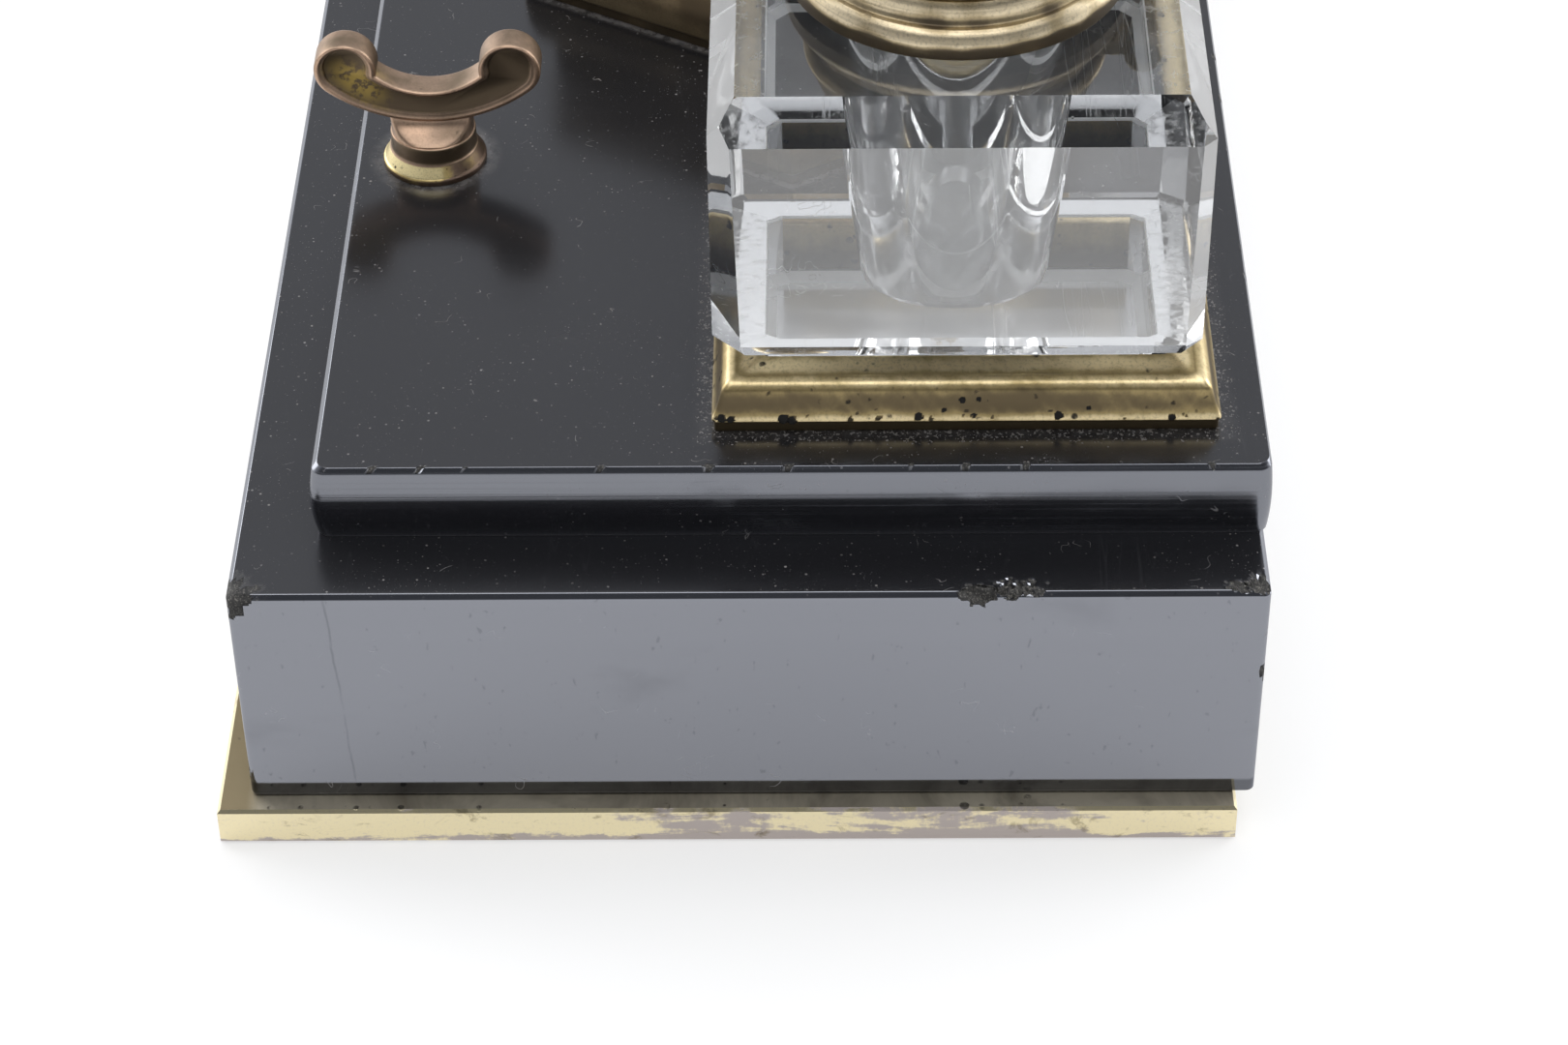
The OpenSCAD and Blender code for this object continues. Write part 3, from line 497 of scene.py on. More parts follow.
blockTopStone, slabTopStone = makeStone(stoneTop), makeStone(slabTop)
blockFaceStone, slabFaceStone, chipStone = makeStone(stoneFace), makeStone(slabFace), makeStone(brokenStone)
plateBrass, sealLeather = makePlateBrass(plateLook), makeLeather(leather)
frameBrass, collarBrass = makeMetal("frameBrass", frameMetal), makeMetal("collarBrass", collarMetal)
restBronze, restFootBrass = makeMetal("restBronze", restMetal), makeMetal("restFootBrass", footMetal)
boxBronze, fixingBrass = makeMetal("boxBronze", boxMetal), makeMetal("fixingBrass", fixingMetal)
glassFinishes = [makeGlass(kind) for kind in glassKinds]
print("stage: materials made")


# profile rows are set-back, height, wear and rounding: each corner with a rounding becomes a short curve
# from its rounding before the corner to its rounding after it
def soften(rows, steps=4):
    rows = np.asarray(rows, float)
    path, radius = rows[:, :3], rows[:, 3]
    out = [path[0]]
    t = np.linspace(0.0, 1.0, steps + 1)[:, None]
    for before, here, after, r in zip(path[:-2], path[1:-1], path[2:], radius[1:-1]):
        if r == 0:
            out.append(here)
            continue
        lengthIn, lengthOut = np.linalg.norm((here - before)[:2]), np.linalg.norm((after - here)[:2])
        start = here + (before - here) * min(r / lengthIn, 0.49)
        end = here + (after - here) * min(r / lengthOut, 0.49)
        out.extend((1 - t) ** 2 * start + 2 * t * (1 - t) * here + t ** 2 * end)
    out.append(path[-1])
    return np.array(out)


# long straight steps of a profile get points in between, no further apart than the step
def refine(profile, step):
    gaps = np.linalg.norm(np.diff(profile[:, :2], axis=0), axis=1)
    parts = [np.linspace(a, b, max(int(gap / step), 1), endpoint=False)
             for a, b, gap in zip(profile[:-1], profile[1:], gaps)]
    return np.vstack(parts + [profile[-1:]])


# closed outline of a polygon given by its sides' directions and distances, with every corner rounded.
# A corner's arc is centred where its two sides, moved in by the radius, cross
def outline(angles, reach, radius, sideCounts, cornerCount):
    a = np.radians(angles)
    b = np.append(a[1:], a[0] + 2 * np.pi)
    near = reach - radius
    far = np.roll(near, -1, axis=-1)
    crossing = [near * np.sin(b) - far * np.sin(a), far * np.cos(a) - near * np.cos(b)]
    centre = np.stack(crossing, -1) / np.sin(b - a)[:, None]
    turn = a[:, None] + (b - a)[:, None] * np.linspace(0.0, 1.0, cornerCount)
    arcs = centre[:, :, None, :] + radius[:, :, None, None] * np.stack([np.cos(turn), np.sin(turn)], -1)
    parts = []
    for k in range(len(angles)):
        follow = (k + 1) % len(angles)
        share = np.arange(1, sideCounts[follow] + 1)[:, None] / (sideCounts[follow] + 1)
        parts += [arcs[:, k], arcs[:, k, -1:] * (1 - share) + arcs[:, follow, :1] * share]
    return np.concatenate(parts, axis=1)


# rings of a polygon drawn in by the profile's set-back, of which each side may take its own share
def polygonRings(angles, reach, profile, radius, sideCounts, cornerCount, share=1.0):
    reach = np.asarray(reach, float)[None, :] - profile[:, :1] * np.asarray(share)
    flat = outline(angles, reach, np.full((len(profile), 1), radius), sideCounts, cornerCount)
    height = np.broadcast_to(profile[:, 1, None, None], flat.shape[:2] + (1,))
    wear = np.broadcast_to(profile[:, 2, None], flat.shape[:2]).copy()
    return np.concatenate([flat, height], axis=2), wear


# rings of a turned shape: the profile's set-back is the radius
def turnedRings(profile, count):
    angle = np.linspace(0.0, 2 * np.pi, count, endpoint=False)
    radius, height = profile[:, :1], profile[:, 1:2]
    rings = np.stack([radius * np.cos(angle), radius * np.sin(angle), height + 0 * angle], -1)
    return rings, np.broadcast_to(profile[:, 2:3], rings.shape[:2]).copy()


# a shell is points, faces and wear: four-sided faces between neighbouring rings, and flat faces over open ends
def shell(rings, wear, loop=False, firstCap=True):
    levels, count = wear.shape
    i = np.arange(levels if loop else levels - 1)[:, None] * count
    j = np.arange(count)[None, :]
    k = (j + 1) % count
    above = (i + count) % (levels * count)
    faces = np.stack([i + j, i + k, above + k, above + j], -1).reshape(-1, 4).tolist()
    if firstCap and not loop:
        faces.append(np.arange(count)[::-1].tolist())
    if not loop:
        faces.append((np.arange(count) + (levels - 1) * count).tolist())
    return rings.reshape(-1, 3), faces, wear.reshape(-1)


def joinShells(shells):
    points, faces, wear, start = [], [], [], 0
    for p, f, w in shells:
        points.append(p)
        wear.append(w)
        faces += [[index + start for index in face] for face in f]
        start += len(p)
    return np.vstack(points), faces, np.concatenate(wear)


# sums of sine waves in seeded directions, as an even roughness between about -1 and 1
def ripple(points, size, seed):
    rng = np.random.default_rng(seed)
    ways = rng.normal(size=(9, 3))
    ways *= (2 * np.pi / size * rng.uniform(0.6, 1.7, 9) / np.linalg.norm(ways, axis=1))[:, None]
    return np.sin(points @ ways.T + rng.uniform(0, 6.28, 9)).sum(-1) / 4.0


# a chip is a ball that bites into an edge: points inside it move out to its rough skin and take the given wear
def bite(points, wear, balls, seed, mark=1.0):
    rough = ripple(points, 0.9, seed)
    for x, y, z, r in balls:
        away = points - (x, y, z)
        distance = np.linalg.norm(away, axis=-1)
        skin = r * (1 + 0.2 * rough)
        inside = distance < skin
        points[inside] += away[inside] * ((skin - distance) / np.maximum(distance, 1e-6))[inside][:, None]
        wear[inside] = mark


def makePiece(name, built, material, sharp=32.0):
    points, faces, wear = built
    mesh = bpy.data.meshes.new(name)
    mesh.from_pydata((points * mm).tolist(), [], faces)
    mesh.attributes.new("wear", "FLOAT", "POINT").data.foreach_set("value", wear.astype(np.float32))
    mesh.polygons.foreach_set("use_smooth", np.ones(len(mesh.polygons), bool))
    mesh.set_sharp_from_angle(angle=math.radians(sharp))
    mesh.materials.append(material)
    obj = bpy.data.objects.new(name, mesh)
    scene.collection.objects.link(obj)
    return obj


# shells joined and moved to their place, their wear broken up by a ripple of the given amount, size and seed.
# Wear below zero marks lines of painted shade, which may be kept
def makeWorn(name, shells, place, worn, material, keepPaintedShade=False):
    points, faces, wear = joinShells(shells)
    points = points + place
    amount, size, seed = worn
    rubbed = np.clip(wear + amount * ripple(points, size, seed), 0, 1)
    return makePiece(name, (points, faces, np.where(keepPaintedShade & (wear < 0), wear, rubbed)), material, 40)


def settle(obj, body, slot, *replaced):
    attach(obj, body)
    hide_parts(*replaced)


# more materials for a piece, and which of them all each face takes, from the faces' middles and normals
def pickMaterial(obj, others, choose):
    for material in others:
        obj.data.materials.append(material)
    middle, normal = np.empty((2, len(obj.data.polygons) * 3))
    obj.data.polygons.foreach_get("center", middle)
    obj.data.polygons.foreach_get("normal", normal)
    chosen = choose(middle.reshape(-1, 3) / mm, normal.reshape(-1, 3))
    obj.data.polygons.foreach_set("material_index", chosen.astype(np.int32))


# tops take the second material, and broken places the third, where the mean wear of a face's corners is high
def stoneFaces(obj, topMaterial, wear):
    around = wear + np.roll(wear, -1, axis=1)
    broken = np.zeros(len(obj.data.polygons), bool)
    inRings = ((around[:-1] + around[1:]) / 4 > 0.3).reshape(-1)
    broken[:len(inRings)] = inRings
    pickMaterial(obj, [topMaterial, chipStone], lambda middle, normal: np.where(broken, 2, normal[:, 2] > 0.9))


square = (0.0, 90.0, 180.0, 270.0)
topRing = 14.0  # how far in the last ring of a stone's top lies

# lower stone block: upright sides, small flat arrises and worn corners
block = {
    "half": (139.5, 63.5), "middle": (0.0, 3.2), "foot": 5.6, "height": 33.7, "arris": 0.6, "corner": 1.0,
    "counts": (340, 320, 220, 320), "seed": 11, "chips": 40, "rubbed": (139.5, -60.3),
    "breaks": [
        (140.1, 31.4, 40.1, 2.6), (139.6, 29.9, 39.9, 1.4), (139.0, 35.2, 41.7, 3.0), (139.0, 37.3, 41.9, 3.0),
        (138.6, 62.6, 40.9, 2.0), (138.2, 65.6, 41.0, 2.4), (140.2, 67.4, 39.9, 1.6), (140.0, 67.2, 32.2, 1.1),
        (139.9, 67.1, 26.0, 1.3), (139.9, 67.1, 9.5, 1.0), (141.0, 68.2, 4.4, 2.7), (140.0, -60.9, 39.9, 1.5),
        (139.9, -60.8, 20.5, 1.0), (139.9, -60.8, 17.6, 0.9), (139.9, -60.8, 14.0, 1.1), (139.9, -60.8, 11.5, 0.8),
        (139.9, -60.8, 9.0, 1.0),
    ],
}


# seeded chips along the four upper edges: ball centres stand off the edge, so that only its rim is bitten
def edgeChips(halfX, halfY, middle, height, count, seed, sizes=(0.5, 1.3)):
    rng = np.random.default_rng(seed)
    along = rng.uniform(-1, 1, count)
    side = rng.integers(0, 4, count)
    r = rng.uniform(*sizes, count) ** 1.5
    out = 0.72 * r
    x = np.where(side % 2 == 0, np.where(side == 0, 1, -1) * (halfX + out), along * halfX)
    y = np.where(side % 2 == 1, np.where(side == 1, 1, -1) * (halfY + out), along * halfY)
    return np.stack([x + middle[0], y + middle[1], height + out - 0.3, r], 1)


def makeBlock(b):
    h, a, seed = b["height"], b["arris"], b["seed"]
    low = refine(soften([(3.0, 0, 0, 0), (0.35, 0, 0, 0.2), (0, 0.35, 0, 0.2), (0, h - 4.0, 0, 0)]), 1.0)
    edge = refine(soften([(0, h - 4.0, 0, 0), (0, h - a, 0, 0.12), (a, h, 0, 0.12), (4.5, h, 0, 0)]), 0.3)
    profile = np.vstack([low[:-1], edge, [(topRing, h, 0)]])
    rings, wear = polygonRings(square, b["half"] * 2, profile, b["corner"], b["counts"], 9)
    rings += (*b["middle"], b["foot"])
    top = b["foot"] + h
    bite(rings, wear, edgeChips(*b["half"], b["middle"], top, b["chips"], seed), seed)
    bite(rings, wear, b["breaks"], seed)
    # the front corner's top is rubbed grey
    away = np.linalg.norm(rings - (*b["rubbed"], top), axis=2)
    grey = 1.3 * np.exp(-(away / 2.8) ** 2) + 0.4 * ripple(rings, 1.6, 5)
    wear = np.maximum(wear, np.clip(grey, 0, 1) * (away < 5))
    obj = makePiece("stoneBlock", shell(rings, wear), blockFaceStone)
    stoneFaces(obj, blockTopStone, wear)
    settle(obj, "base", "black_stone", "base_block")


makeBlock(block)

# upper stone slab: cushion edge, flat arris along the top
slab = {"reach": (128.7, 58.9, 128.7, 59.1), "share": (0.9, 0.45, 0.9, 1.0), "middle": (0.0, boxY), "foot": 39.3,
        "height": 10.5, "bulge": 0.55, "arris": 0.65, "corner": 1.7, "counts": (340,) * 4, "seed": 23, "chips": 40,
        "chipSizes": (0.3, 0.8)}


def makeSlab(s):
    h, a, bulge = s["height"], s["arris"], s["bulge"]
    foot = [(3.0, 0, 0.4, 0), (bulge, 0, 0.4, 0), (bulge * 0.88, 0.3, 0, 0)]  # rubbed line along the foot
    cushion = [(bulge * (2 * u - 1) ** 2, u * (h - a), 0, 0) for u in np.linspace(0.0, 1.0, 15)[1:-1]]
    edge = [(bulge, h - a, 0, 0.1), (bulge + a, h, 0, 0.12), (4.0, h, 0, 0)]
    profile = np.vstack([refine(soften(foot + cushion + edge), 0.35), [(topRing, h, 0)]])
    rings, wear = polygonRings(square, s["reach"], profile, s["corner"], s["counts"], 9, s["share"])
    rings += (*s["middle"], s["foot"])
    inset = bulge + a
    balls = edgeChips(s["reach"][0] - inset, s["reach"][1] - inset / 2, s["middle"], s["foot"] + h,
                      s["chips"], s["seed"], s["chipSizes"])
    bite(rings, wear, balls, s["seed"])
    obj = makePiece("stoneSlab", shell(rings, wear), slabFaceStone)
    stoneFaces(obj, slabTopStone, wear)
    settle(obj, "base", "black_stone", "top_slab")


makeSlab(slab)
print("stage: stone made")

# inkwell frame: plain foot, leaning face, rubbed roll, hollow up to the inner rim
inkFrame = {
    "half": 31.3, "corner": 0.7, "counts": (240,) * 4, "seed": 31, "pits": 90,
    "rows": [
        (6.4, 0, 0, 0), (0.3, 0, 0, 0.1), (0.3, 1.35, 0.02, 0.1), (0, 1.62, 0.75, 0.08), (0.1, 1.95, 0.95, 0.1),
        (0.42, 2.7, 0.35, 0.3), (0.72, 3.5, 0.16, 0.4), (1.0, 4.4, 0.14, 0.4), (1.3, 5.4, 0.4, 0.3),
        (2.05, 6.15, 0.8, 0.4), (2.95, 6.4, 0.6, 0.3), (3.3, 6.38, 0.45, 0.1), (4.6, 6.6, 1.0, 0.6),
        (6.15, 7.0, 0.6, 0.2), (6.4, 6.9, 0.6, 0.1), (6.4, 0, 0.6, 0),
    ],
    "deep": [
        (-22.4, 2.0, 0.65), (-21.4, 1.8, 0.5), (-5.9, 2.2, 0.5), (11.3, 2.3, 0.5), (25.1, 1.9, 0.4),
        (-28.9, 1.9, 0.4), (-2.8, 3.0, 0.3), (-0.5, 4.2, 0.4), (1.5, 4.3, 0.3), (0.9, 2.3, 0.3), (15.0, 3.2, 0.3),
        (-30.0, 2.1, 0.5),
    ],
}


# pits in the frame's leaning faces: deep ones in the face towards the end of the stand, small seeded ones all round
def framePits(f, seed):
    rng = np.random.default_rng(seed)
    half, count = f["half"], f["pits"]

    def faceAt(z):
        return half - 0.34 * (z - 1.6)

    along, z = rng.uniform(-half, half, count), 1.7 + 3.6 * rng.uniform(0, 1, count) ** 1.6
    turn = rng.integers(0, 4, count) * np.pi / 2
    r = 0.16 + 0.24 * rng.uniform(0, 1, count) ** 3
    out, c, s = faceAt(z), np.cos(turn), np.sin(turn)
    small = np.stack([out * c - along * s, out * s + along * c, z, r], 1)
    y, z, r = np.array(f["deep"]).T
    return np.stack([faceAt(z), y, z, r], 1), small


def makeFrame(f, name, side):
    soft = soften(f["rows"], 5)
    profile = np.vstack([soft[:1], refine(soft[1:-1], 0.3)])
    rings, wear = polygonRings(square, (f["half"],) * 4, profile, f["corner"], f["counts"], 7)
    worn = 0.06 * ripple(rings, 9.0, f["seed"] + side) + 0.05 * ripple(rings, 2.0, f["seed"])
    wear = np.clip(wear + worn * (wear > 0.03), 0, 1)
    deep, small = framePits(f, f["seed"] + side)
    bite(rings, wear, small, f["seed"], -0.45)
    bite(rings, wear, deep, f["seed"], -1.0)
    rings += (side * wellX, frameY, deck)
    obj = makePiece("inkwellFrame_" + name, shell(rings, wear, loop=True), frameBrass, 50)
    settle(obj, "base", "frame_brass", "inkwell_frame_" + name)


for name, side in sides:
    makeFrame(inkFrame, name, side)
print("stage: frames made")

# glass inkwell: square block with cut corners and bevelled top, a foot inside the frame, and a turned well
inkGlass = {
    "half": (29.3, 29.9, 29.3, 29.9), "rise": 10.1, "height": 36.0, "bevel": (3.3, 5.1), "corner": (3.7, 2.8),
    "arris": (0.5, 0.6, 1.6), "foot": (22.3, 24.4, 22.3, 23.2), "cuts": (0.6, 0.85, 0.95, 0.95),
    "flare": (0.3, 0.45), "footCut": (1.0, 1.5), "footCorner": 1.9, "clear": 0.1, "point": 0.02,
    "well": (
        (16.8, 0.0), (16.0, -1.0), (15.5, -2.6), (15.25, -4.5), (15.1, -6.0), (13.6, -20.0), (11.75, -34.0),
        (11.2, -35.8), (9.8, -36.9), (6.0, -37.15), (2.0, -37.2),
    ),
}


def makeGlassWell(g, name, side):
    half, foot, leg, point = np.array(g["half"]), np.array(g["foot"]), g["footCorner"], g["point"]
    rise, top = g["rise"], g["rise"] + g["height"]
    low, high = g["corner"]
    flareW, flareH = g["flare"]
    footIn, footUp = g["footCut"]
    bevelW, bevelH = g["bevel"]
    arrisW, arrisH, endH = g["arris"]
    tip = high / 2
    end = np.array((side > 0, False, side < 0, False))
    # rows are reach of the four faces, leg of the corner cut, height above the slab
    rows = [(foot - footIn, leg, g["clear"]), (foot, leg, footUp + g["clear"]), (foot, leg, rise - flareH)]
    rows += [(foot + flareW * (1 - math.cos(u)), leg, rise - flareH * (1 - math.sin(u)))
             for u in np.linspace(0.0, math.pi / 2, 9)[1:]]
    rows += [(half - arrisW, low, rise), (half - end * arrisW * (1 - arrisH / endH), low, rise + arrisH),
             (half, low, rise + endH), (half, high, top - bevelH),
             (half - tip, point, top - bevelH * (1 - tip / bevelW)), (half - bevelW, point, top)]
    faces, legs, levels = (np.array(column) for column in zip(*rows))
    cut = (faces + np.roll(faces, -1, axis=1) - legs[:, None] * g["cuts"]) / math.sqrt(2)  # corners differ a little
    reach = np.stack([faces, cut], 2).reshape(len(rows), 8)
    flat = outline(np.arange(8) * 45.0, reach, np.full((len(rows), 1), 0.004), (64, 5) * 4, 2)
    rings = np.concatenate([flat, np.broadcast_to(levels[:, None, None], flat.shape[:2] + (1,))], 2)
    around = np.arctan2(flat[-1, :, 1], flat[-1, :, 0])
    radius, depth = np.array(g["well"]).T[:, :, None]
    wellRings = np.stack([radius * np.cos(around), radius * np.sin(around), depth + top + 0 * around], -1)
    rings = np.concatenate([rings, wellRings]) + (side * wellX, wellY, deck)
    obj = makePiece("glassInkwell_" + name, shell(rings, np.zeros(rings.shape[:2])), glassFinishes[0], 12)

    # 0 is the top and the face towards the end of the stand, 1 that end's corner facets, 2 the ground foot's curve and
    # cut, 3 the well, 5 the foot's long sides and the ledges over them, 6 the foot's underside, 4 all else
    def finishOf(middle, normal):
        x, y, z = (middle - (side * wellX, wellY, deck)).T
        nx, ny, nz = np.abs(normal).T
        axisGap = np.hypot(x, y)
        outer = (normal[:, 0] * side > 0.5) & (z > rise)
        upper = (normal[:, 2] > 0.9) & (z > rise + 1)
        facet = outer & (np.abs(nx - ny) < 0.05) & (nz < 0.3)
        curve = (z > rise - flareH - 0.05) & (z < rise - 0.01) & (nz > 0.08) & (axisGap > 20)
        cutFace = (z < footUp) & (nz < 0.9)
        ledge = (normal[:, 2] < -0.9) & (np.abs(y) > 23) & (np.abs(x) < 24)
        drawn = (z < rise + 0.1) & ((ny > 0.8) | ledge)
        tests = [(axisGap < 16.4) & (z > 4), facet, curve | cutFace, outer | upper, drawn, z < 0.3]
        return np.select(tests, [3, 1, 2, 0, 5, 6], 4)

    pickMaterial(obj, glassFinishes[1:], finishOf)
    settle(obj, "inkwell_" + name, "clear_glass", "glass_well_" + name)


for name, side in sides:
    makeGlassWell(inkGlass, name, side)
print("stage: glass made")

# hinge of three knuckles along X, the outer two on the fixed half and the middle one on the lid. A knuckle is a turned
# barrel with eased ends, and a tongue back to the piece it belongs to
knuckle = {"radius": 2.25, "ease": 0.25, "gap": 0.3}
lidHinge = {"y": 22.6, "length": 4.6, "tongues": (6.3, 6.5)}
boxHinge = {"y": 37.755, "length": 9.2, "tongues": (3.75, 3.75)}


def makeKnuckle(x0, length, y, z, tongueBack, tongueLow, tongueHigh):
    r, e = knuckle["radius"], knuckle["ease"]
    rows = [(0.2, 0, 0.5, 0), (r, 0, 0.6, e), (r, length, 0.6, e), (0.2, length, 0.5, 0)]
    rings, wear = turnedRings(soften(rows), 40)
    barrel = np.stack([rings[..., 2] + x0, rings[..., 0] + y, rings[..., 1] + z], -1)
    rows = [(1.0, tongueLow, 0.5, 0), (0, tongueLow, 0.5, 0.15), (0, tongueHigh, 0.5, 0.15), (1.0, tongueHigh, 0.5, 0)]
    plate, plateWear = polygonRings(square, (length / 2, tongueBack / 2) * 2, soften(rows), 0.15, (2,) * 4, 3)
    plate = plate + (x0 + length / 2, y - tongueBack / 2, z)
    return [shell(barrel, wear), shell(plate, plateWear)]


def fixedKnuckles(h, z):
    length, gap, shells = h["length"], knuckle["gap"], []
    reach = 1.5 * length + gap
    for x0 in (-reach, reach - length):
        shells += makeKnuckle(x0, length, h["y"], z, h["tongues"][0], -knuckle["radius"], -gap)
    return shells


def lidKnuckle(h):
    return makeKnuckle(-h["length"] / 2, h["length"], h["y"], 0.0, h["tongues"][1], knuckle["gap"], knuckle["radius"])


# collar: seat, plain band, roll, cove and upper roll, then the bore. Wear below zero is painted shade: the underside
# over the glass turns near black
collar = {
    "height": 7.8, "seed": 41,
    "rows": [
        # painted shade: the rows under the collar, over the glass, have wear below zero
        (12.5, -1.4, 0.2, 0), (15.0, -1.4, 0.2, 0), (15.0, 0.4, -0.8, 0), (18.0, 0.4, -0.8, 0),
        (18.0, 1.7, -0.8, 0.1), (20.7, 1.7, -0.3, 0.1), (20.8, 1.85, 0.0, 0.1), (20.8, 3.1, 0.1, 0.2),
        (20.7, 3.7, 0.9, 0.3), (20.2, 4.6, 1.0, 0.4), (19.5, 5.1, 0.6, 0.15), (18.8, 5.2, 0.35, 0.2),
        (18.4, 5.75, 0.45, 0.2), (18.35, 6.3, 0.8, 0.3), (18.05, 7.2, 0.9, 0.4), (17.5, 7.8, 0.6, 0.2),
        (12.5, 7.8, 0.3, 0.2), (12.5, -1.4, 0.2, 0),
    ],
}
glassTop = deck + 45.7
lidSeat = glassTop + collar["height"]


def makeCollar(c, name, side):
    profile = refine(soften(c["rows"], 5), 0.5)[:-1]
    shells = [shell(*turnedRings(profile, 160), loop=True)] + fixedKnuckles(lidHinge, c["height"])
    obj = makeWorn("inkCollar_" + name, shells, (side * wellX, wellY, glassTop), (0.3, 7.0, c["seed"] + side),
                   collarBrass, True)
    settle(obj, "inkwell_" + name, "collar_brass", "collar_" + name)


# lid: groove, bead and dome, with the seal's recess underneath. The dome is radius and height at its foot and its top
lid = {
    "rows": [
        (2.0, 1.3, 0.1, 0), (14.4, 1.3, 0.1, 0.1), (14.4, 0, 0.3, 0.1), (17.3, 0, 0.4, 0.15), (17.3, 1.4, 0.1, 0.1),
        (18.0, 1.55, 0.5, 0.2), (18.8, 2.4, 0.9, 0.6), (18.0, 3.3, 0.6, 0.2), (17.6, 3.4, 0.2, 0.1),
    ],
    "dome": (17.6, 3.4, 3.2, 13.0), "seed": 51,
}
knob = {"radius": 4.4, "boxRadius": 5.0, "foot": 0.72, "neck": 0.4, "neckHeight": 0.8, "seed": 61}


def makeLid(l, name, side):
    r, z, topR, topZ = l["dome"]
    t = np.linspace(0, np.pi / 2, 28)[1:]
    dome = np.stack([topR + (r - topR) * np.cos(t), z + (topZ - z) * np.sin(t), 0.4 + 0.5 * np.sin(t) ** 4], 1)
    profile = np.vstack([refine(soften(l["rows"], 5), 0.6), dome])
    shells = [shell(*turnedRings(profile, 160))] + lidKnuckle(lidHinge)
    obj = makeWorn("inkLid_" + name, shells, (side * wellX, wellY, lidSeat), (0.3, 9.0, l["seed"] + side), collarBrass)
    settle(obj, "inkwell_lid_" + name, "collar_brass", "lid_" + name)


# turned knob: foot, hollow neck and ball
def makeKnob(k, r, name, place, body, node):
    foot, neck, neckTop = r * k["foot"], r * k["neck"], r * k["neckHeight"]
    start = math.asin(k["neck"])
    ballZ = neckTop + r * math.cos(start)
    a = np.linspace(start, np.pi - 0.03, 30)
    ball = np.stack([r * np.sin(a), ballZ - r * np.cos(a), 0.9 - 0.5 * np.abs(np.cos(a))], 1)
    stem = soften([(0.3, 0, 0.2, 0), (foot, 0, 0.4, 0.1), (foot, 0.3 * foot, 0.8, 0.25),
                   (neck * 1.25, 0.62 * foot, 0.4, 0.4), (neck, neckTop * 0.85, 0.2, 0.2), (neck, neckTop, 0.2, 0)], 5)
    shells = [shell(*turnedRings(np.vstack([stem, ball]), 96))]
    settle(makeWorn(name, shells, place, (0.25, 5.0, k["seed"]), collarBrass), body, "collar_brass", node)


for name, side in sides:
    makeCollar(collar, name, side)
    makeLid(lid, name, side)
    makeKnob(knob, knob["radius"], "lidKnob_" + name, (side * wellX, wellY, lidSeat + lid["dome"][3]),
             "inkwell_lid_" + name, "lid_knob_" + name)
print("stage: collars and lids made")

# pen rest: turned pedestal, and a crescent with scrolled ends, a raised rim and a sunk panel on both faces
penRest = {
    "cradle": 10.4, "low": 4.7, "scroll": (10.85, 3.25, 4.1), "rise": 7.0, "seed": 71,
    "pedestal": [
        # the base ring's low wear keeps it dull and dark: painted shade low on the foot, by the slab
        (0.4, 0, 0, 0), (6.9, 0, 0.2, 0.1), (6.9, 0.7, 0.3, 0.15), (6.6, 0.95, 0.95, 0.1), (5.95, 2.35, 1.0, 0.2),
        (5.7, 2.75, 0.2, 0.15), (5.7, 4.85, 0.12, 0.1), (5.5, 5.0, 0.85, 0.1), (4.0, 4.9, 0.5, 0),
    ],
    "waist": 1.95, "disc": 5.5, "discTop": 5.0,
    "rim": [
        (1.6, 1.75, 0.05, 0), (1.5, 1.8, 0.05, 0.05), (1.3, 2.02, 0.45, 0.12), (0.95, 2.06, 0.35, 0.15),
        (0.55, 2.2, 0.95, 0.2), (0.2, 2.1, 0.75, 0.12), (0.0, 1.8, 0.4, 0.15),
    ],
}


# outline of the crescent in Y and Z about the cradle's low point: bottom arc, right scroll, cradle, left scroll.
# The bottom arc touches the scrolls, and the cradle's arc runs between the points where it crosses them
def crescent(p):
    y, z, r = p["scroll"]
    cradle = p["cradle"]
    drop = p["low"] + z
    bottomR = (y * y + drop * drop - r * r) / (2 * (drop - r))
    centre = bottomR - p["low"]
    touch = math.atan2(z - centre, y)
    gap = math.hypot(y, z - cradle)
    opening = math.acos((gap * gap + cradle ** 2 - r * r) / (2 * gap * cradle))
    cross = math.atan2(z - cradle, y) - opening
    end = math.atan2(cradle + cradle * math.sin(cross) - z, cradle * math.cos(cross) - y) % (2 * math.pi)

    def arc(middleY, middleZ, radius, angles):
        return np.stack([middleY + radius * np.cos(angles), middleZ + radius * np.sin(angles)], 1)

    half = np.vstack([arc(0.0, centre, bottomR, np.linspace(-math.pi / 2, touch, 60, endpoint=False)),
                      arc(y, z, r, np.linspace(touch, end, 110)),
                      arc(0.0, cradle, cradle, np.linspace(cross, -math.pi / 2, 50)[1:])])
    return np.vstack([half, half[1:-1][::-1] * (-1, 1)]), bottomR


# neck of the rest: a disc's outline whose two broad faces draw in to the crescent's thickness with the square of the
# height, up to just inside the crescent's bottom arc
def restNeck(p, bottomR):
    t = np.linspace(0.0, 1.0, 22)[:, None]
    angle = np.linspace(0.0, 2 * np.pi, 120, endpoint=False)[None, :]
    half = p["waist"] + (p["disc"] - p["waist"]) * (1 - t) ** 2
    across = np.abs(p["disc"] * np.cos(angle)) + 1e-6
    x = (across ** -9.0 + half ** -9.0) ** (-1 / 9.0) * np.sign(np.cos(angle))
    y = p["disc"] * np.sin(angle) * (1 + 0.05 * t ** 3)
    top = p["rise"] + bottomR - np.sqrt(bottomR ** 2 - y ** 2) + 0.35
    z = p["discTop"] + (top - p["discTop"]) * t
    wear = 0.72 - 0.35 * np.minimum(t * 3, 1) * (1 - t) + 0 * angle
    return shell(np.stack([x, y, z], -1), wear, firstCap=False)


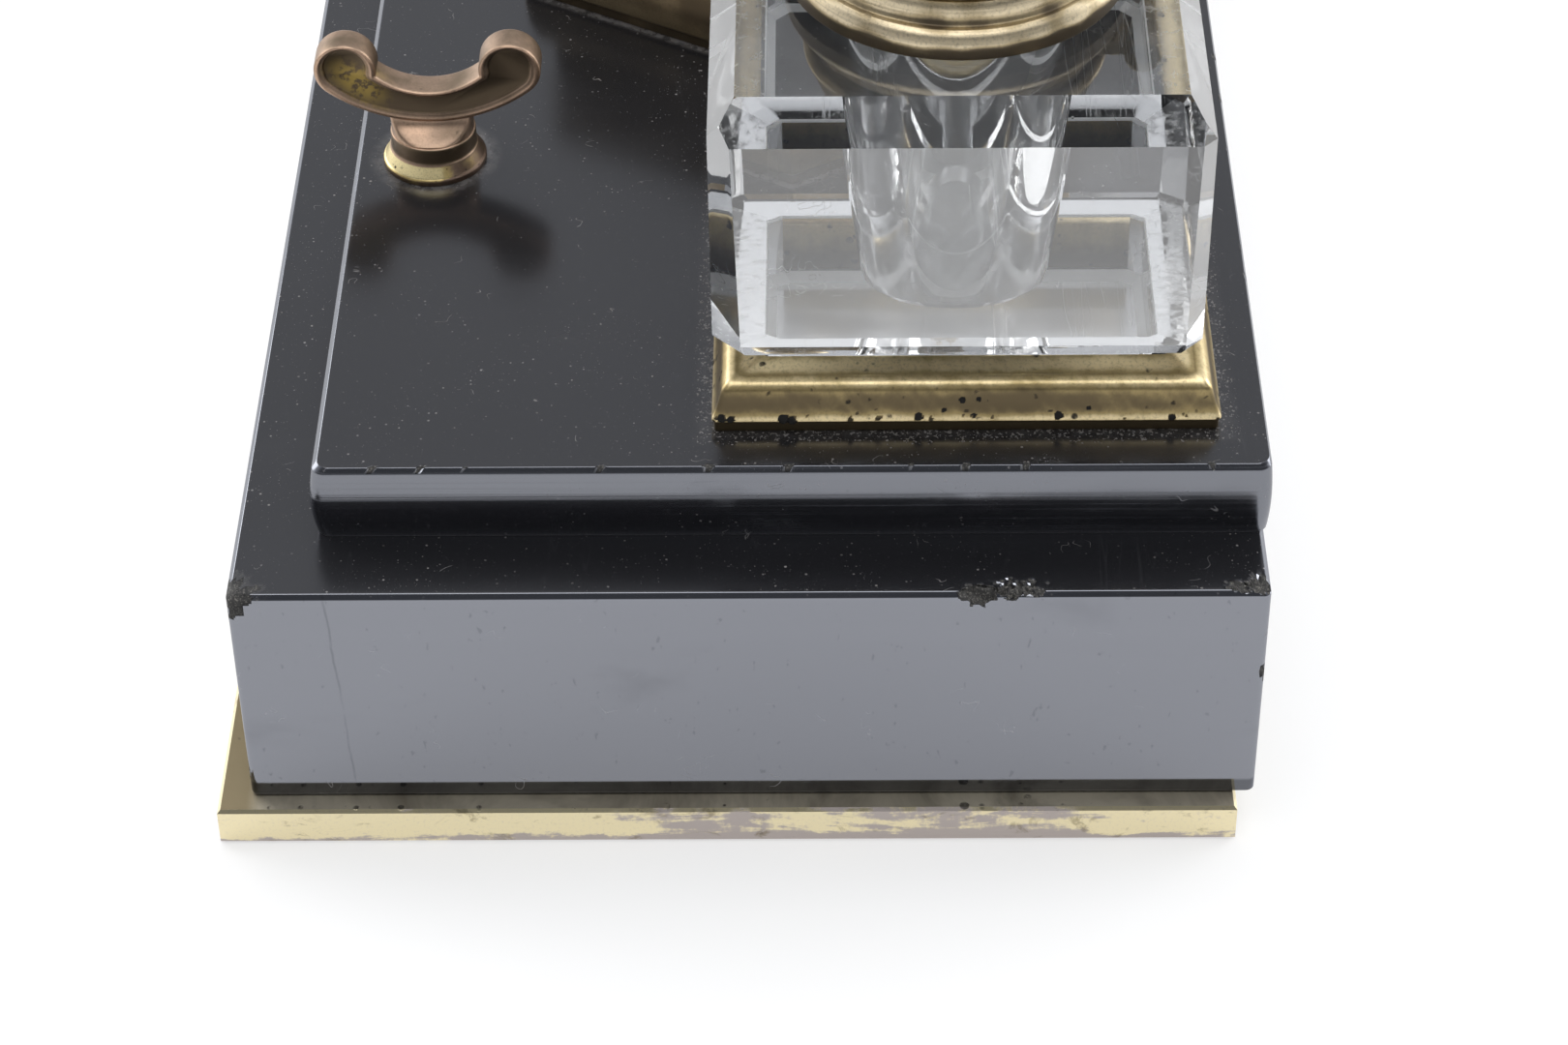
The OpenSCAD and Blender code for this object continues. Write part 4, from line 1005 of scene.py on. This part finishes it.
def makePenRest(p, name, side):
    line, bottomR = crescent(p)
    tangent = np.roll(line, -1, axis=0) - np.roll(line, 1, axis=0)
    tangent /= np.linalg.norm(tangent, axis=1)[:, None]
    inward = np.stack([-tangent[:, 1], tangent[:, 0]], 1)
    front = soften(p["rim"] + [(0.0, 0.0, 0.35, 0)], 4)
    profile = np.vstack([front * (1, -1, 1), front[-2::-1]])
    share = (1 - 0.5 * np.clip(-inward[:, 1:], 0, 1))[None]  # the rim is broader below than at the cradle
    flat = line[None] + inward[None] * profile[:, :1, None] * share
    rings = np.stack([np.broadcast_to(profile[:, 1:2], flat.shape[:2]), flat[..., 0], flat[..., 1]], -1)
    bow = shell(rings + (0, 0, p["rise"] + p["low"]), np.broadcast_to(profile[:, 2:3], flat.shape[:2]).copy())
    stand = shell(*turnedRings(refine(soften(p["pedestal"], 5), 0.4), 120))
    points, faces, wear = joinShells([bow, stand, restNeck(p, bottomR)])
    # the foot is rubbed on the writer's side and dull towards the back
    away = np.clip((points[:, 1] - 0.1 * points[:, 0] - 0.6) / 2.2, 0, 1)
    wear = wear - 0.85 * away * (points[:, 2] < 2.5)
    obj = makeWorn("penRest_" + name, [(points, faces, wear)], (side * restX, restY, deck),
                   (0.15, 6.0, p["seed"] + side), restBronze)
    pickMaterial(obj, [restFootBrass], lambda middle, normal: middle[:, 2] < deck + 2.4)
    settle(obj, "base", "rest_bronze", "pen_rest_" + name)


for name, side in sides:
    makePenRest(penRest, name, side)
print("stage: pen rests made")

# stamp box: hexagonal, with a moulded foot, plain walls, a rim, and an open inside
hexagon = (30.0, 90.0, 150.0, 210.0, 270.0, 330.0)
stampBox = {
    "reach": 38.105, "corner": 0.5, "height": 24.0, "seed": 81,
    "rows": [
        (6.1, 0, 0, 0), (0.3, 0, 0.0, 0.1), (0.3, 1.35, 0.1, 0.1), (0.0, 1.65, 0.9, 0.15), (0.35, 5.0, 0.35, 0.9),
        (1.3, 8.0, 0.5, 0.5), (2.0, 8.8, 0.95, 0.4), (2.9, 9.0, 0.7, 0.2), (3.3, 9.5, 0.3, 0.3),
        (3.7, 10.4, 0.3, 0.3), (3.7, 21.6, 0.35, 0.3), (2.95, 22.6, 0.7, 0.3), (2.9, 24.0, 0.9, 0.2),
        (6.1, 24.0, 0.5, 0.2), (6.1, 5.0, 0.1, 0.3), (9.0, 5.0, 0.1, 0),
    ],
}
boxLid = {"reach": 35.205, "corner": 0.4, "height": 11.0, "band": 2.6, "crown": 13.0, "wall": 2.4, "under": 3.2,
          "seed": 83}


def makeBox(b):
    profile = refine(soften(b["rows"], 5), 0.8)
    rings, wear = polygonRings(hexagon, (b["reach"],) * 6, profile, b["corner"], (60,) * 6, 7)
    shells = [shell(rings, wear)] + fixedKnuckles(boxHinge, b["height"])
    obj = makeWorn("stampBox", shells, (0.0, boxY, deck), (0.3, 9.0, b["seed"]), boxBronze)
    settle(obj, "base", "box_bronze", "stamp_box")


def makeBoxLid(b, seat):
    h, band, wall, under = b["height"], b["band"], b["wall"], b["under"]
    t = np.linspace(0, np.pi / 2, 24)
    width = b["reach"] - b["crown"]
    sweep = np.stack([width * np.sin(t), band + (h - band) * (1 - np.cos(t)), 0.35 + 0.4 * np.sin(t)], 1)
    inner = (sweep + (wall, -wall, 0))[::-1] * (1, 1, 0.2)
    inner = inner[(inner[:, 0] > under) & (inner[:, 1] > 0.3)]
    edge = soften([(under, inner[-1, 1], 0.1, 0), (under, 0, 0.3, 0.2), (0, 0, 0.6, 0.2), (0, band, 0.9, 0.3),
                   (*sweep[3], 0)], 5)
    profile = np.vstack([inner, edge[:-1], sweep[3:], [[b["reach"] - 3.0, h, 0.6]]])
    rings, wear = polygonRings(hexagon, (b["reach"],) * 6, refine(profile, 0.9), b["corner"], (48,) * 6, 7)
    shells = [shell(rings, wear)] + lidKnuckle(boxHinge)
    obj = makeWorn("stampBoxLid", shells, (0.0, boxY, seat), (0.3, 9.0, b["seed"]), boxBronze)
    settle(obj, "box_lid", "box_bronze", "stamp_box_lid")


boxSeat = deck + stampBox["height"]
makeBox(stampBox)
makeBoxLid(boxLid, boxSeat)
makeKnob(knob, knob["boxRadius"], "stampBoxKnob", (0.0, boxY, boxSeat + boxLid["height"]), "box_lid", "stamp_box_knob")
print("stage: stamp box made")

# the nodes that stay as they are take the finish of their slot
kept = {"plate_brass": plateBrass, "fixing_brass": fixingBrass, "seal_leather": sealLeather}
for part in frame["record"]["subparts"]:
    if part["material_slot"] in kept:
        data = nodes[part["node"]].data
        data.materials.clear()
        data.materials.append(kept[part["material_slot"]])

# floor: white sheet that keeps the shadow, a little brighter to the eye, in reflections and through glass
floorLook = {"reach": 3.0, "colour": 0.47, "glow": 0.58}


def makeFloor(f):
    r = f["reach"]
    mesh = bpy.data.meshes.new("floor")
    mesh.from_pydata([(-r, -r, 0), (r, -r, 0), (r, r, 0), (-r, r, 0)], [], [(0, 1, 2, 3)])
    obj = bpy.data.objects.new("floor", mesh)
    scene.collection.objects.link(obj)
    material, shader = newMaterial("floorSheet")[:2]
    tree = material.node_tree
    tree.nodes.remove(shader)
    diffuse = put(tree, "BsdfDiffuse", {"Color": (f["colour"],) * 3})
    path = put(tree, "LightPath", {}).outputs
    seen = largest(*(path["Is %s Ray" % kind] for kind in ("Camera", "Glossy", "Transmission")))
    glow = put(tree, "Emission", {"Strength": times(seen, f["glow"])})
    both = put(tree, "AddShader", {0: diffuse.outputs[0], 1: glow.outputs[0]})
    feed(tree.nodes["Material Output"], {"Surface": both.outputs[0]})
    mesh.materials.append(material)


makeFloor(floorLook)

# studio: a pale wall beyond the stand, a room behind the camera that is pale low down and dim above, one broad lamp
# above and one at each side
studio = {"wall": (0.80, 0.82, 0.86), "room": (0.10, 0.105, 0.115), "low": (0.72, 0.73, 0.75), "through": 0.85}
sideLamp = {"aim": (0.0, 0.0, 0.05), "size": (0.9, 0.9), "power": 9.0, "through": True}
overLamp = {"aim": (0.0, 0.0, 0.0), "size": (1.2, 1.4), "power": 11.0, "through": False}
lamps = {
    "lampOver": {**overLamp, "place": (0.04, 0.0, 1.30)},
    "lampLeft": {**sideLamp, "place": (-0.75, -1.15, 0.55)},
    "lampRight": {**sideLamp, "place": (-0.55, 1.25, 0.55)},
}


def makeStudio(s):
    world = bpy.data.worlds.new("studio")
    scene.world = world
    world.use_nodes = True
    tree = world.node_tree
    way = split(put(tree, "TexCoord", {}).outputs["Generated"])
    room = mixColour(spread(way["Z"], 0.55, 0.15), s["room"], s["low"])
    colour = mixColour(spread(way["X"], 0.25, -0.35), room, s["wall"])
    through = put(tree, "LightPath", {}).outputs["Is Transmission Ray"]
    strength = spread(through, 0.0, 1.0, 1.0, s["through"])  # a little dimmer through glass
    feed(tree.nodes["Background"], {"Color": colour, "Strength": strength})


def makeLamp(name, l):
    data = bpy.data.lights.new(name, "AREA")
    data.shape = "RECTANGLE"
    data.size, data.size_y = l["size"]
    data.energy = l["power"]
    obj = bpy.data.objects.new(name, data)
    obj.location = l["place"]
    obj.rotation_euler = (Vector(l["aim"]) - Vector(l["place"])).to_track_quat("-Z", "Y").to_euler()
    obj.visible_transmission = l["through"]  # whether it shows inside the glass
    scene.collection.objects.link(obj)


makeStudio(studio)
for lampName, lampSettings in lamps.items():
    makeLamp(lampName, lampSettings)
print("stage: floor and light made")
